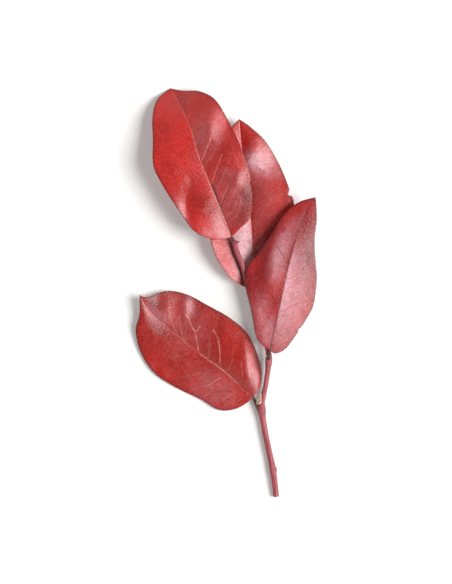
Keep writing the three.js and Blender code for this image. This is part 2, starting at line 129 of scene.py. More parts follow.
@dataclass
class Wiring:
    """Adds nodes to one node tree and feeds their sockets."""

    tree: bpy.types.NodeTree

    def add(self, kind: str, settings: dict[str, Any] | None = None,
            inputs: dict[str | int, Any] | None = None) -> bpy.types.Node:
        """Adds one node.

        Args:
            kind: The node's type name.
            settings: Values for the node's own properties.
            inputs: What feeds each input, by the input's name or index.

        Returns:
            The new node.
        """
        node = self.tree.nodes.new(kind)
        for name, value in (settings or {}).items():
            setattr(node, name, value)
        for name, value in (inputs or {}).items():
            self.feed(node.inputs[name], value)
        return node

    def feed(self, socket: bpy.types.NodeSocket, value: Any) -> None:
        """Feeds one input.

        Args:
            socket: The input.
            value: The output that is linked to it, or else its plain value or web colour.
        """
        if isinstance(value, bpy.types.NodeSocket):
            self.tree.links.new(value, socket)
        else:
            socket.default_value = paint(value) if socket.type == "RGBA" else value

    def math(self, operation: str, first: Any, second: Any = 0.0, clamp: bool = False) -> Any:
        """Puts out what the operation makes of two values."""
        settings = {"operation": operation, "use_clamp": clamp}
        return self.add("ShaderNodeMath", settings, {0: first, 1: second}).outputs[0]

    def times(self, first: Any, second: Any) -> Any:
        """Puts out the product of two values."""
        return self.math("MULTIPLY", first, second)

    def plus(self, first: Any, second: Any) -> Any:
        """Puts out the sum of two values."""
        return self.math("ADD", first, second)

    def vector(self, operation: str, first: Any, second: Any) -> Any:
        """Puts out what the operation makes of two vectors."""
        return self.add("ShaderNodeVectorMath", {"operation": operation}, {0: first, 1: second}).outputs[0]

    def scaled(self, vector: Any, factor: Any) -> Any:
        """Puts out a vector times a number."""
        node = self.add("ShaderNodeVectorMath", {"operation": "SCALE"}, {0: vector, "Scale": factor})
        return node.outputs[0]

    def combined(self, **parts: Any) -> Any:
        """Puts out the vector of the given X, Y and Z."""
        return self.add("ShaderNodeCombineXYZ", None, parts).outputs[0]

    def mix(self, factor: Any, first: Any, second: Any) -> Any:
        """Puts out a colour between two colours."""
        node = self.add("ShaderNodeMix", {"data_type": "RGBA"}, {0: factor, 6: first, 7: second})
        return node.outputs[2]

    def remap(self, value: Any, low: float, high: float, to_low: float = 0.0, to_high: float = 1.0) -> Any:
        """Moves a value smoothly from one range to another.

        Args:
            value: The value.
            low: Where the first range starts.
            high: Where it ends.
            to_low: What the value becomes at low and before it.
            to_high: What it becomes at high and past it.

        Returns:
            The output with the new value.
        """
        settings = {"interpolation_type": "SMOOTHSTEP"}
        inputs = {"Value": value, "From Min": low, "From Max": high, "To Min": to_low, "To Max": to_high}
        return self.add("ShaderNodeMapRange", settings, inputs).outputs["Result"]

    def noise(self, vector: Any, scale: Any, detail: float = 3.0, roughness: float = 0.55) -> Any:
        """Puts out a cloudy value about 0.5."""
        inputs = {"Vector": vector, "Scale": scale, "Detail": detail, "Roughness": roughness}
        return self.add("ShaderNodeTexNoise", None, inputs).outputs[0]

    def warped(self, vector: Any, scale: Any, share: Any) -> Any:
        """Moves a place about in a cloudy drift.

        Args:
            vector: The place.
            scale: The drift's scale.
            share: How far the drift moves the place.

        Returns:
            The output with the moved place.
        """
        drift = self.add("ShaderNodeTexNoise", None, {"Vector": vector, "Scale": scale, "Detail": 2.0})
        centred = self.vector("SUBTRACT", drift.outputs["Color"], (0.5, 0.5, 0.5))
        return self.vector("ADD", vector, self.scaled(centred, share))

    def place(self) -> Any:
        """Puts out the place on the piece, in metres."""
        return self.add("ShaderNodeTexCoord").outputs["Object"]

    def attribute(self, name: str) -> Any:
        """Puts out a piece's own named value."""
        return self.add("ShaderNodeAttribute", {"attribute_name": name}).outputs["Fac"]

    def effect(self, tree: bpy.types.NodeTree, inputs: dict[str, Any]) -> Any:
        """Places a shared effect with its own values and gives its outputs."""
        return self.add("ShaderNodeGroup", {"node_tree": tree}, inputs).outputs

    def bump(self, strength: float, depth: float, height: Any) -> Any:
        """Puts out the normal of a surface with a fine relief of some depth in metres."""
        inputs = {"Strength": strength, "Distance": depth, "Height": height}
        return self.add("ShaderNodeBump", None, inputs).outputs["Normal"]

    def stored(self, shape: Any, name: str, value: Any) -> Any:
        """Puts out a shape whose points keep a named value."""
        return self.add("GeometryNodeStoreNamedAttribute", {"data_type": "FLOAT", "domain": "POINT"},
                        {"Geometry": shape, "Name": name, "Value": value}).outputs[0]

    def kept(self, kind: str, name: str) -> Any:
        """Puts out the named value that the points keep."""
        return self.add("GeometryNodeInputNamedAttribute", {"data_type": kind}, {"Name": name}).outputs[0]

    def smooth(self, shape: Any) -> Any:
        """Puts out a shape with smooth shading."""
        return self.add("GeometryNodeSetShadeSmooth", None, {0: shape}).outputs[0]

    def set_on(self, points: Any, shape: Any, rotation: Any, scale: Any) -> Any:
        """Puts out a shape set on every point."""
        inputs = {"Points": points, "Instance": shape, "Rotation": rotation, "Scale": scale}
        return self.add("GeometryNodeInstanceOnPoints", None, inputs).outputs[0]

    def random_size(self, least: float, greatest: float, seed: Any) -> Any:
        """Puts out a size that is drawn for each point."""
        inputs = {2: least, 3: greatest, "Seed": seed}
        return self.add("FunctionNodeRandomValue", {"data_type": "FLOAT"}, inputs).outputs[1]


def new_group(name: str, kind: str, inputs: dict[str, tuple[str, Any]],
              outputs: dict[str, str]) -> tuple[Wiring, Any, Any]:
    """Starts a node group with named sockets.

    Args:
        name: The group's name.
        kind: The tree's type name.
        inputs: For each input its short socket type and its default, or None.
        outputs: For each output its short socket type.

    Returns:
        The group's wiring, what its first node gives and what its last node takes.
    """
    tree = bpy.data.node_groups.new(name, kind)
    for label, (socket_type, default) in inputs.items():
        socket = tree.interface.new_socket(label, in_out="INPUT", socket_type="NodeSocket" + socket_type)
        if default is not None:
            socket.default_value = default
    for label, socket_type in outputs.items():
        tree.interface.new_socket(label, in_out="OUTPUT", socket_type="NodeSocket" + socket_type)
    wiring = Wiring(tree)
    return wiring, wiring.add("NodeGroupInput").outputs, wiring.add("NodeGroupOutput").inputs


def paint(colour: str) -> tuple[float, float, float, float]:
    """Turns a web colour such as #b83030 to the linear one that a socket holds.

    Args:
        colour: The web colour.

    Returns:
        Red, green, blue and alpha.
    """
    values = [int(colour[at:at + 2], 16) / 255 for at in (1, 3, 5)]
    linear = [v / 12.92 if v <= 0.04045 else ((v + 0.055) / 1.055) ** 2.4 for v in values]
    return (*linear, 1.0)


def new_finish(name: str) -> tuple[bpy.types.Material, Wiring, Any]:
    """Starts a material.

    Args:
        name: The material's name.

    Returns:
        The material, its wiring and the inputs of its shader.
    """
    material = bpy.data.materials.new(name)
    material.use_nodes = True
    return material, Wiring(material.node_tree), material.node_tree.nodes["Principled BSDF"].inputs


# Shared effects

class Effects:
    """The shader node groups that more than one finish uses.

    A range holds where it starts and ends, and where it has four numbers also what the value becomes there.
    """

    PATCH_RANGE = (0.36, 0.66)
    GRAIN_RANGE = (0.3, 0.7)
    NET_SCALES = (1.0, 3.1)
    CELL_SPREAD = 0.9
    COARSE_LINE = (0.0, 0.09, 1.0, 0.0)
    FINE_LINE = (0.0, 0.12, 0.55, 0.0)
    COARSE_SWELL = (0.0, 0.3)
    FINE_SWELL = (0.0, 0.35)
    FINE_SHARE = 0.35
    STREAK_DRIFT_SCALE = 14.0
    STREAK_RANGE = (0.42, 0.68)
    BLOOM_AND_SHEEN_NET_WARP = 0.05
    CLOUD_SCALE = 24.0
    CLOUD_RANGE = (0.34, 0.66)
    CLOUD_SHARE = 0.5
    BLOOM_AND_SHEEN_LEAST = 0.35
    BLOOM_AND_SHEEN_SPREAD = 0.9

    def __init__(self) -> None:
        """Builds each group once."""
        self.mottle = self._mottle()
        self.vein_net = self._vein_net()
        self.side_streaks = self._side_streaks()
        self.waxy_bloom_and_sheen = self._waxy_bloom_and_sheen()

    def _mottle(self) -> bpy.types.NodeTree:
        """Makes cloudy patches with a finer grain in them, for dye that took unevenly.

        Returns:
            The group.
        """
        wiring, get, leave = new_group(
            "uneven_dye", "ShaderNodeTree",
            {"Vector": ("Vector", None), "Patch Scale": ("Float", 80.0), "Grain Scale": ("Float", 900.0)},
            {"Patches": "Float", "Grain": "Float"},
        )
        patches = wiring.noise(get["Vector"], get["Patch Scale"], 2.0, 0.5)
        grain = wiring.noise(get["Vector"], get["Grain Scale"], 3.0, 0.65)
        wiring.feed(leave["Patches"], wiring.remap(patches, *self.PATCH_RANGE))
        wiring.feed(leave["Grain"], wiring.remap(grain, *self.GRAIN_RANGE))
        return wiring.tree

    def _vein_net(self) -> bpy.types.NodeTree:
        """Makes fine joined veins around small cells, warped so that no cell repeats.

        Returns:
            The group.
        """
        wiring, get, leave = new_group(
            "fine_vein_net", "ShaderNodeTree",
            {"Vector": ("Vector", None), "Cells": ("Float", 30.0), "Warp": ("Float", 0.02)},
            {"Net": "Float", "Height": "Float"},
        )
        warped = wiring.warped(get["Vector"], get["Cells"], get["Warp"])
        settings = {"feature": "DISTANCE_TO_EDGE", "voronoi_dimensions": "2D"}
        nets = []
        for finer in self.NET_SCALES:
            scale = wiring.times(get["Cells"], finer)
            inputs = {"Vector": warped, "Scale": scale, "Randomness": self.CELL_SPREAD}
            nets.append(wiring.add("ShaderNodeTexVoronoi", settings, inputs).outputs["Distance"])
        coarse, fine = nets
        lines = wiring.remap(coarse, *self.COARSE_LINE), wiring.remap(fine, *self.FINE_LINE)
        wiring.feed(leave["Net"], wiring.math("MAXIMUM", *lines))
        fine_swell = wiring.times(wiring.remap(fine, *self.FINE_SWELL), self.FINE_SHARE)
        wiring.feed(leave["Height"], wiring.plus(wiring.remap(coarse, *self.COARSE_SWELL), fine_swell))
        return wiring.tree

    def _side_streaks(self) -> bpy.types.NodeTree:
        """Makes thin broken streaks that run out from a midrib to both margins, as side veins do.

        Returns:
            The group.
        """
        wiring, get, leave = new_group(
            "side_streaks", "ShaderNodeTree",
            {"Vector": ("Vector", None), "Lean": ("Float", 0.87), "Length Scale": ("Float", 32.0),
             "Width Scale": ("Float", 115.0), "Warp": ("Float", 0.05)},
            {"Streaks": "Float"},
        )
        warped = wiring.warped(get["Vector"], self.STREAK_DRIFT_SCALE, get["Warp"])
        plan = wiring.add("ShaderNodeSeparateXYZ", None, {0: warped}).outputs
        along, away = plan["X"], wiring.math("ABSOLUTE", plan["Y"])
        cos, sin = wiring.math("COSINE", get["Lean"]), wiring.math("SINE", get["Lean"])
        out = wiring.plus(wiring.times(along, cos), wiring.times(away, sin))
        over = wiring.math("SUBTRACT", wiring.times(away, cos), wiring.times(along, sin))
        spot = wiring.combined(X=wiring.times(out, get["Length Scale"]),
                               Y=wiring.times(over, get["Width Scale"]),
                               Z=wiring.math("SIGN", plan["Y"]))
        streaks = wiring.noise(spot, 1.0, 3.0, 0.6)
        wiring.feed(leave["Streaks"], wiring.remap(streaks, *self.STREAK_RANGE))
        return wiring.tree

    def _waxy_bloom_and_sheen(self) -> bpy.types.NodeTree:
        """Makes the amount of a pale waxy coat and of painted sheen, broken up by a web of veins and by
        streaks.

        Returns:
            The group.
        """
        wiring, get, leave = new_group(
            "waxy_bloom_and_sheen", "ShaderNodeTree",
            {"Vector": ("Vector", None), "BloomAndSheen": ("Float", 0.0), "Web Cells": ("Float", 26.0),
             "Web Share": ("Float", 0.25), "Streaks": ("Float", 0.5)},
            {"Amount": "Float"},
        )
        share = get["Web Share"]
        net = wiring.effect(self.vein_net, {"Vector": get["Vector"], "Cells": get["Web Cells"],
                                            "Warp": self.BLOOM_AND_SHEEN_NET_WARP})
        between = wiring.math("MAXIMUM", wiring.times(share, -1.0), 0.0)
        web = wiring.plus(wiring.times(net["Net"], share), between)
        cloud = wiring.remap(wiring.noise(get["Vector"], self.CLOUD_SCALE, 4.0, 0.65), *self.CLOUD_RANGE)
        streaks = wiring.times(get["Streaks"], 1 - self.CLOUD_SHARE)
        clouds = wiring.plus(wiring.times(cloud, self.CLOUD_SHARE), streaks)
        strength = wiring.plus(wiring.times(wiring.plus(clouds, web), self.BLOOM_AND_SHEEN_SPREAD), self.BLOOM_AND_SHEEN_LEAST)
        wiring.feed(leave["Amount"], wiring.math("MULTIPLY", get["BloomAndSheen"], strength, clamp=True))
        return wiring.tree


# Finishes

@dataclass(frozen=True)
class LeafFinish:
    """A satin, dyed leaf: red skin with paler veins above, duller and paler below; its dark tones also paint
    shade and shadow, and its pale tone also paints sheen.
    """

    name: str
    deep: str = "#94130f"
    bright: str = "#ab1b15"
    flush: str = "#bf3020"
    vein: str = "#f2aca2"
    # The dark tone is partly dried colour and partly painted shade and shadow. The edge tone darkens a rim on
    # every margin, partly as painted shade. The pale tone is partly a waxy coat and partly painted sheen.
    dried: str = "#5f1513"
    edge: str = "#3f1a1a"
    bloom_and_sheen: str = "#d29aa2"
    under: str = "#b4565a"
    under_vein: str = "#cf8a86"
    roughness: float = 0.3
    specular: float = 0.58
    patch_scale: float = 70.0
    grain_scale: float = 1100.0
    grain_tint: float = 0.45
    net_cells: float = 75.0
    net_warp: float = 0.03
    net_tint: float = 0.03
    under_net_tint: float = 0.5
    relief_strength: float = 0.2
    relief_depth: float = 0.0003
    grain_relief: float = 0.5
    streak_relief: float = 0.3
    under_dulling: float = 0.2
    bloom_and_sheen_dulling: float = 0.12
    vein_tint: float = 0.95
    vein_break_scale: float = 420.0
    dark_rim_and_shade_tint: float = 0.85
    streak_tint: float = 0.05
    web_share: float = 0.25

    def material(self, effects: Effects) -> bpy.types.Material:
        """Builds the finish.

        Args:
            effects: The shared node groups.

        Returns:
            The material.
        """
        material, wiring, shader = new_finish(self.name)
        place = wiring.place()
        plane = wiring.add("ShaderNodeUVMap", {"uv_map": "leaf_plane"}).outputs["UV"]
        vein, edge, under, stain_and_shade = (wiring.attribute(name) for name in ("vein", "edge", "under", "stain_and_shade"))
        mottle = wiring.effect(effects.mottle, {"Vector": place, "Patch Scale": self.patch_scale,
                                                "Grain Scale": self.grain_scale})
        grain = mottle["Grain"]
        net = wiring.effect(effects.vein_net,
                            {"Vector": plane, "Cells": self.net_cells, "Warp": self.net_warp})
        streaks = wiring.effect(effects.side_streaks, {"Vector": plane})["Streaks"]
        bloom_and_sheen = wiring.effect(effects.waxy_bloom_and_sheen, {
            "Vector": plane, "BloomAndSheen": wiring.attribute("bloom_and_sheen"), "Web Share": self.web_share,
            "Streaks": streaks,
        })["Amount"]

        skin = wiring.mix(mottle["Patches"], self.deep, self.bright)
        skin = wiring.mix(wiring.times(grain, self.grain_tint), skin, self.flush)
        skin = wiring.mix(wiring.times(net["Net"], self.net_tint), skin, self.vein)
        # Streaks and patches take the pale tone, partly a waxy coat and partly painted sheen.
        skin = wiring.mix(wiring.times(streaks, self.streak_tint), skin, self.bloom_and_sheen)
        skin = wiring.mix(bloom_and_sheen, skin, self.bloom_and_sheen)
        # Darker patches take the dark tone: dried colour, and painted shade and painted shadow.
        skin = wiring.mix(stain_and_shade, skin, self.dried)
        broken = wiring.remap(wiring.noise(place, self.vein_break_scale, 2.0, 0.5), 0.34, 0.62, 0.35, 1.0)
        skin = wiring.mix(wiring.times(wiring.times(vein, self.vein_tint), broken), skin, self.vein)
        back = wiring.mix(wiring.times(net["Net"], self.under_net_tint), self.under, self.under_vein)
        back = wiring.mix(vein, back, self.under_vein)
        colour = wiring.mix(under, skin, back)
        # The margins darken over a narrow rim, partly as painted shade.
        wiring.feed(shader["Base Color"], wiring.mix(wiring.times(edge, self.dark_rim_and_shade_tint), colour, self.edge))

        rough = wiring.remap(grain, 0.0, 1.0, self.roughness - 0.05, self.roughness + 0.07)
        rough = wiring.plus(rough, wiring.times(under, self.under_dulling))
        wiring.feed(shader["Roughness"], wiring.plus(rough, wiring.times(bloom_and_sheen, self.bloom_and_sheen_dulling)))
        wiring.feed(shader["Specular IOR Level"], self.specular)
        relief = wiring.plus(net["Height"], wiring.times(grain, self.grain_relief))
        relief = wiring.plus(relief, wiring.times(streaks, self.streak_relief))
        wiring.feed(shader["Normal"], wiring.bump(self.relief_strength, self.relief_depth, relief))
        return material


@dataclass(frozen=True)
class BarkFinish:
    """Thin dyed bark: pinkish red with lengthwise streaks, and painted shade where its fold value says, in
    grooves and on flanks.
    """

    name: str
    light: str = "#c25a60"
    dark: str = "#96404a"
    # The fold tone is painted shade.
    fold: str = "#6a4640"
    roughness: float = 0.58
    streak_scale: float = 1300.0
    streak_stretch: float = 0.07
    patch_scale: float = 160.0
    patch_tint: float = 0.35
    grain_scale: float = 1500.0
    grain_relief: float = 0.4
    fold_shade_tint: float = 0.8
    relief_strength: float = 0.5
    relief_depth: float = 0.0003

    def material(self, effects: Effects) -> bpy.types.Material:
        """Builds the finish.

        Args:
            effects: The shared node groups.

        Returns:
            The material.
        """
        material, wiring, shader = new_finish(self.name)
        place = wiring.place()
        stretched = wiring.add("ShaderNodeMapping", None,
                               {"Vector": place, "Scale": (1.0, self.streak_stretch, 1.0)}).outputs["Vector"]
        mottle = wiring.effect(effects.mottle, {"Vector": place, "Patch Scale": self.patch_scale,
                                                "Grain Scale": self.grain_scale})
        streaks = wiring.noise(stretched, self.streak_scale, 4.0, 0.6)
        bark = wiring.mix(wiring.remap(streaks, 0.4, 0.6), self.dark, self.light)
        bark = wiring.mix(wiring.times(mottle["Patches"], self.patch_tint), bark, self.dark)
        # Painted shade: the fold value darkens the grooves and the flanks.
        bark = wiring.mix(wiring.times(wiring.attribute("fold"), self.fold_shade_tint), bark, self.fold)
        wiring.feed(shader["Base Color"], bark)
        rough = wiring.remap(mottle["Grain"], 0.0, 1.0, self.roughness - 0.08, self.roughness + 0.08)
        wiring.feed(shader["Roughness"], rough)
        relief = wiring.plus(streaks, wiring.times(mottle["Grain"], self.grain_relief))
        wiring.feed(shader["Normal"], wiring.bump(self.relief_strength, self.relief_depth, relief))
        return material


@dataclass(frozen=True)
class CutWoodFinish:
    """The stem's clean cut: pale wood with rings about a small brown pith."""

    name: str = "cut_wood"
    wood: str = "#d8ab93"
    ring: str = "#b5705f"
    pith: str = "#7d4436"
    ring_turns: float = 26.0
    fibre_scale: float = 2600.0
    fibre_tint: float = 0.3
    relief_strength: float = 0.5
    relief_depth: float = 0.0002

    def material(self, centre: Place, radius: float) -> bpy.types.Material:
        """Builds the finish.

        Args:
            centre: The middle of the cut, in metres.
            radius: The cut's radius, in metres.

        Returns:
            The material.
        """
        material, wiring, shader = new_finish(self.name)
        place = wiring.place()
        offset = wiring.vector("SUBTRACT", place, centre)
        away = wiring.add("ShaderNodeVectorMath", {"operation": "LENGTH"}, {0: offset}).outputs["Value"]
        share = wiring.math("DIVIDE", away, radius)
        fibres = wiring.noise(place, self.fibre_scale, 3.0)
        rings = wiring.math("SINE", wiring.times(share, self.ring_turns))
        wood = wiring.mix(wiring.remap(rings, -0.2, 1.0, 0.0, 0.5), self.wood, self.ring)
        wood = wiring.mix(wiring.remap(share, 0.12, 0.22, 1.0, 0.0), wood, self.pith)
        wood = wiring.mix(wiring.times(fibres, self.fibre_tint), wood, self.ring)
        wiring.feed(shader["Base Color"], wood)
        wiring.feed(shader["Roughness"], wiring.remap(fibres, 0.3, 0.7, 0.7, 0.9))
        wiring.feed(shader["Normal"], wiring.bump(self.relief_strength, self.relief_depth, fibres))
        return material


# Meshes

def mesh_object(name: str, points: Array, faces: list[tuple[int, ...]], material: bpy.types.Material,
                values: dict[str, Array] | None = None, plane: Array | None = None) -> bpy.types.Object:
    """Makes a smooth mesh object at the origin.

    Args:
        name: The piece's name.
        points: Vertices in metres.
        faces: Vertex numbers of each face.
        material: The piece's finish.
        values: Named values of the vertices.
        plane: Each vertex's place in the leaf's plane, kept as a UV map.

    Returns:
        The object, linked to the scene.
    """
    mesh = bpy.data.meshes.new(name)
    mesh.from_pydata(points.tolist(), [], faces)
    for label, numbers in (values or {}).items():
        domain = "FLOAT_VECTOR" if numbers.ndim > 1 else "FLOAT"
        attribute = mesh.attributes.new(label, domain, "POINT")
        field = "vector" if numbers.ndim > 1 else "value"
        attribute.data.foreach_set(field, numbers.astype(np.float32).ravel())
    if plane is not None:
        corners = np.zeros(len(mesh.loops), np.int32)
        mesh.loops.foreach_get("vertex_index", corners)
        layer = mesh.uv_layers.new(name="leaf_plane")
        layer.data.foreach_set("uv", plane[corners].astype(np.float32).ravel())
    mesh.polygons.foreach_set("use_smooth", np.ones(len(mesh.polygons), bool))
    mesh.materials.append(material)
    mesh.update()
    return link(name, mesh)


def link(name: str, data: Any) -> bpy.types.Object:
    """Makes an object and puts it in the scene.

    Args:
        name: The object's name.
        data: The mesh, curve, lamp or camera that it shows.

    Returns:
        The object.
    """
    thing = bpy.data.objects.new(name, data)
    bpy.context.scene.collection.objects.link(thing)
    return thing


def corner_faces(corners: list[Array], flip: bool) -> list[tuple[int, ...]]:
    """Faces from one array of vertex numbers for each corner, which look the other way with flip."""
    block = np.stack(corners[::-1] if flip else corners, axis=-1).reshape(-1, len(corners))
    return list(map(tuple, block.tolist()))


def quads(sheet: Array, flip: bool) -> list[tuple[int, ...]]:
    """The four-cornered faces of a sheet of vertex numbers."""
    return corner_faces([sheet[:-1, :-1], sheet[:-1, 1:], sheet[1:, 1:], sheet[1:, :-1]], flip)


def drop_loose_vertices(mesh: bpy.types.Mesh) -> None:
    """Removes vertices that no face uses.

    Args:
        mesh: The mesh, which is changed.
    """
    work = bmesh.new()
    work.from_mesh(mesh)
    bmesh.ops.delete(work, geom=[v for v in work.verts if not v.link_faces], context="VERTS")
    work.to_mesh(mesh)
    work.free()


def turned_to(towards: Place) -> Matrix:
    """The turn that makes +Z point the given way."""
    return Vector(towards).to_track_quat("Z", "Y").to_matrix().to_4x4()


def grown_by_nodes(thing: bpy.types.Object, tree: bpy.types.NodeTree,
                   values: dict[str, Any]) -> bpy.types.Object:
    """Runs a geometry node tree on an object and keeps the result as a plain mesh.

    Args:
        thing: The object that carries the tree's input; it is removed.
        tree: The node tree.
        values: Values for the tree's named inputs.

    Returns:
        A new mesh object of the same name.
    """
    modifier = thing.modifiers.new("growth", "NODES")
    modifier.node_group = tree
    sockets = {item.name: item.identifier for item in tree.interface.items_tree if item.in_out == "INPUT"}
    for label, value in values.items():
        modifier[sockets[label]] = value
    graph = bpy.context.evaluated_depsgraph_get()
    mesh = bpy.data.meshes.new_from_object(thing.evaluated_get(graph), depsgraph=graph)
    name = thing.name
    thing.modifiers.remove(modifier)
    bpy.data.objects.remove(thing)
    mesh.name = name
    return link(name, mesh)


def settle(piece: bpy.types.Object, slot: Slot, *nodes: str) -> bpy.types.Object:
    """Ties a finished piece to the frame.

    Args:
        piece: The piece.
        slot: The record's material slot; not used.
        nodes: The frame's nodes that it stands for.

    Returns:
        The piece.
    """
    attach(piece, ROOT)
    if nodes:
        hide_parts(*nodes)
    piece.data.calc_loop_triangles()
    LOG.info("%s: %d triangles", piece.name, len(piece.data.loop_triangles))
    return piece


# Growth rules

class Growth:
    """The geometry node trees for what follows a path or repeats.

    A painted shade range holds where it starts and ends, and how dark the painted shade is there. A scale's
    pair runs from the bud's lowest scale to its highest, and other pairs from the smallest size to the
    greatest.
    """

    DRIFT_SCALE = 45.0
    DRIFT_TURN = 0.35
    LENGTHWISE = (1.0, 0.2, 1.0)
    WRINKLE_SCALE = 900.0
    LIT_SIDE = -0.45
    GROOVE_SHADE = (-1.0, -0.2, 0.25, 0.0)
    SIDE_SHADE = (0.1, 0.75, 0.8, 0.0)
    WART_SHAPE = (0.8, 1.7, 0.5)
    WART_SIZES = (0.5, 1.2)
    GOLDEN_TURN = math.radians(137.5)
    SCALE_RISE = 0.42
    SCALE_LEAN = (0.30, 0.04)
    SCALE_WIDTH = (1.0, 0.45)
    SCALE_HEIGHT = (0.55, 0.62)
    TOOTH_SIDES = 6
    TOOTH_SIZES = (0.6, 1.15)

    def __init__(self) -> None:
        """Builds each tree once."""
        self.rod = self._rod()
        self.bud = self._bud()
        self.teeth = self._teeth()

    def _rod(self) -> bpy.types.NodeTree:
        """Makes a round rod along a curve, as thick as the curve's radius, with soft ridges and warts, and a
        fold value of painted shade in its grooves and on its flanks.

        Returns:
            The tree.
        """
        wiring, get, leave = new_group(
            "bark_rod", "GeometryNodeTree",
            {
                "Path": ("Geometry", None), "Sides": ("Int", 32), "Ridges": ("Int", 7),
                "Ridge Height": ("Float", 0.00006), "Wrinkle Height": ("Float", 0.00008),
                "Wart Size": ("Float", 0.00016), "Wart Density": ("Float", 0.0), "Seed": ("Int", 1),
                "Bark": ("Material", None),
            },
            {"Rod": "Geometry"},
        )
        ring = wiring.add("GeometryNodeCurvePrimitiveCircle", None,
                          {"Resolution": get["Sides"], "Radius": 1.0})
        around = wiring.add("GeometryNodeSplineParameter").outputs["Factor"]
        swept = wiring.add("GeometryNodeCurveToMesh", None, {
            "Curve": get["Path"], "Profile Curve": wiring.stored(ring.outputs[0], "around", around),
            "Scale": wiring.add("GeometryNodeInputRadius").outputs[0], "Fill Caps": True,
        })
        normal = wiring.add("GeometryNodeInputNormal").outputs[0]
        position = wiring.add("GeometryNodeInputPosition").outputs[0]
        drift = wiring.times(wiring.noise(position, self.DRIFT_SCALE, 2.0), self.DRIFT_TURN)
        angle = wiring.times(wiring.plus(wiring.kept("FLOAT", "around"), drift), get["Ridges"])
        wave = wiring.math("SINE", wiring.times(angle, 2 * math.pi))
        lengthwise = wiring.vector("MULTIPLY", position, self.LENGTHWISE)
        wrinkle = wiring.math("SUBTRACT", wiring.noise(lengthwise, self.WRINKLE_SCALE), 0.5)
        wrinkles = wiring.times(wrinkle, get["Wrinkle Height"])
        rise = wiring.plus(wiring.times(wave, get["Ridge Height"]), wrinkles)
        shaped = wiring.add("GeometryNodeSetPosition", None,
                            {"Geometry": swept.outputs[0], "Offset": wiring.scaled(normal, rise)})
        # Painted shade: grooves between ridges and flanks get a fold value, more on the flank towards +X.
        facing = wiring.add("ShaderNodeSeparateXYZ", None, {0: normal}).outputs
        shaded = wiring.plus(facing["Z"], wiring.times(facing["X"], self.LIT_SIDE))
        fold = wiring.math("MAXIMUM", wiring.remap(wave, *self.GROOVE_SHADE),
                           wiring.remap(shaded, *self.SIDE_SHADE))
        rod = wiring.smooth(wiring.stored(shaped.outputs[0], "fold", fold))
        spots = wiring.add("GeometryNodeDistributePointsOnFaces", {"distribute_method": "RANDOM"},
                           {"Mesh": rod, "Density": get["Wart Density"], "Seed": get["Seed"]}).outputs
        ball = wiring.add("GeometryNodeMeshIcoSphere", None, {"Radius": get["Wart Size"], "Subdivisions": 2})
        wart = wiring.add("GeometryNodeTransform", None,
                          {"Geometry": ball.outputs[0], "Scale": self.WART_SHAPE})
        warts = wiring.set_on(spots["Points"], wart.outputs[0], spots["Rotation"],
                              wiring.random_size(*self.WART_SIZES, get["Seed"]))
        joined = wiring.add("GeometryNodeJoinGeometry", None, {0: warts})
        wiring.feed(joined.inputs[0], rod)
        return self._end(wiring, joined.outputs[0], get["Bark"], leave)

    def _bud(self) -> bpy.types.NodeTree:
        """Makes a bud of pointed scales that overlap upwards, standing on the origin along +Z.

        Returns:
            The tree.
        """
        wiring, get, leave = new_group(
            "scaly_bud", "GeometryNodeTree",
            {
                "Scale Shape": ("Geometry", None), "Scales": ("Int", 7), "Bud Length": ("Float", 0.003),
                "Bud Radius": ("Float", 0.001), "Skin": ("Material", None),
            },
            {"Bud": "Geometry"},
        )
        line = wiring.add("GeometryNodeMeshLine", {"mode": "OFFSET"},
                          {"Count": get["Scales"], "Offset": (0.0, 0.0, 0.0)})
        index = wiring.add("GeometryNodeInputIndex").outputs[0]
        last = wiring.math("MAXIMUM", wiring.math("SUBTRACT", get["Scales"], 1.0), 1.0)
        share = wiring.math("DIVIDE", index, last)
        rise = wiring.times(wiring.times(share, self.SCALE_RISE), get["Bud Length"])
        lifted = wiring.add("GeometryNodeSetPosition", None,
                            {"Geometry": line.outputs[0], "Position": wiring.combined(Z=rise)})
        angles = wiring.combined(Y=wiring.remap(share, 0.0, 1.0, *self.SCALE_LEAN),
                                 Z=wiring.times(index, self.GOLDEN_TURN))
        rotation = wiring.add("FunctionNodeEulerToRotation", None, {0: angles}).outputs[0]
        wide = wiring.times(get["Bud Radius"], wiring.remap(share, 0.0, 1.0, *self.SCALE_WIDTH))
        tall = wiring.times(get["Bud Length"], wiring.remap(share, 0.0, 1.0, *self.SCALE_HEIGHT))
        scales = wiring.set_on(lifted.outputs[0], get["Scale Shape"], rotation,
                               wiring.combined(X=wide, Y=wide, Z=tall))
        return self._end(wiring, scales, get["Skin"], leave)

    def _teeth(self) -> bpy.types.NodeTree:
        """Makes small bristle-tipped teeth, one at each vertex, that point along the vertex's own aim.

        Returns:
            The tree.
        """
        wiring, get, leave = new_group(
            "margin_teeth", "GeometryNodeTree",
            {
                "Margin": ("Geometry", None), "Tooth Length": ("Float", 0.0006),
                "Tooth Width": ("Float", 0.00024), "Seed": ("Int", 1), "Skin": ("Material", None),
            },
            {"Teeth": "Geometry"},
        )
        tooth = wiring.add("GeometryNodeMeshCone", {"fill_type": "TRIANGLE_FAN"},
                           {"Vertices": self.TOOTH_SIDES, "Radius Top": 0.0,
                            "Radius Bottom": get["Tooth Width"], "Depth": get["Tooth Length"]})
        aim = wiring.kept("FLOAT_VECTOR", "aim")
        rotation = wiring.add("FunctionNodeAlignRotationToVector", {"axis": "Z"}, {"Vector": aim}).outputs[0]
        teeth = wiring.set_on(get["Margin"], wiring.smooth(tooth.outputs["Mesh"]), rotation,
                              wiring.random_size(*self.TOOTH_SIZES, get["Seed"]))
        return self._end(wiring, teeth, get["Skin"], leave)

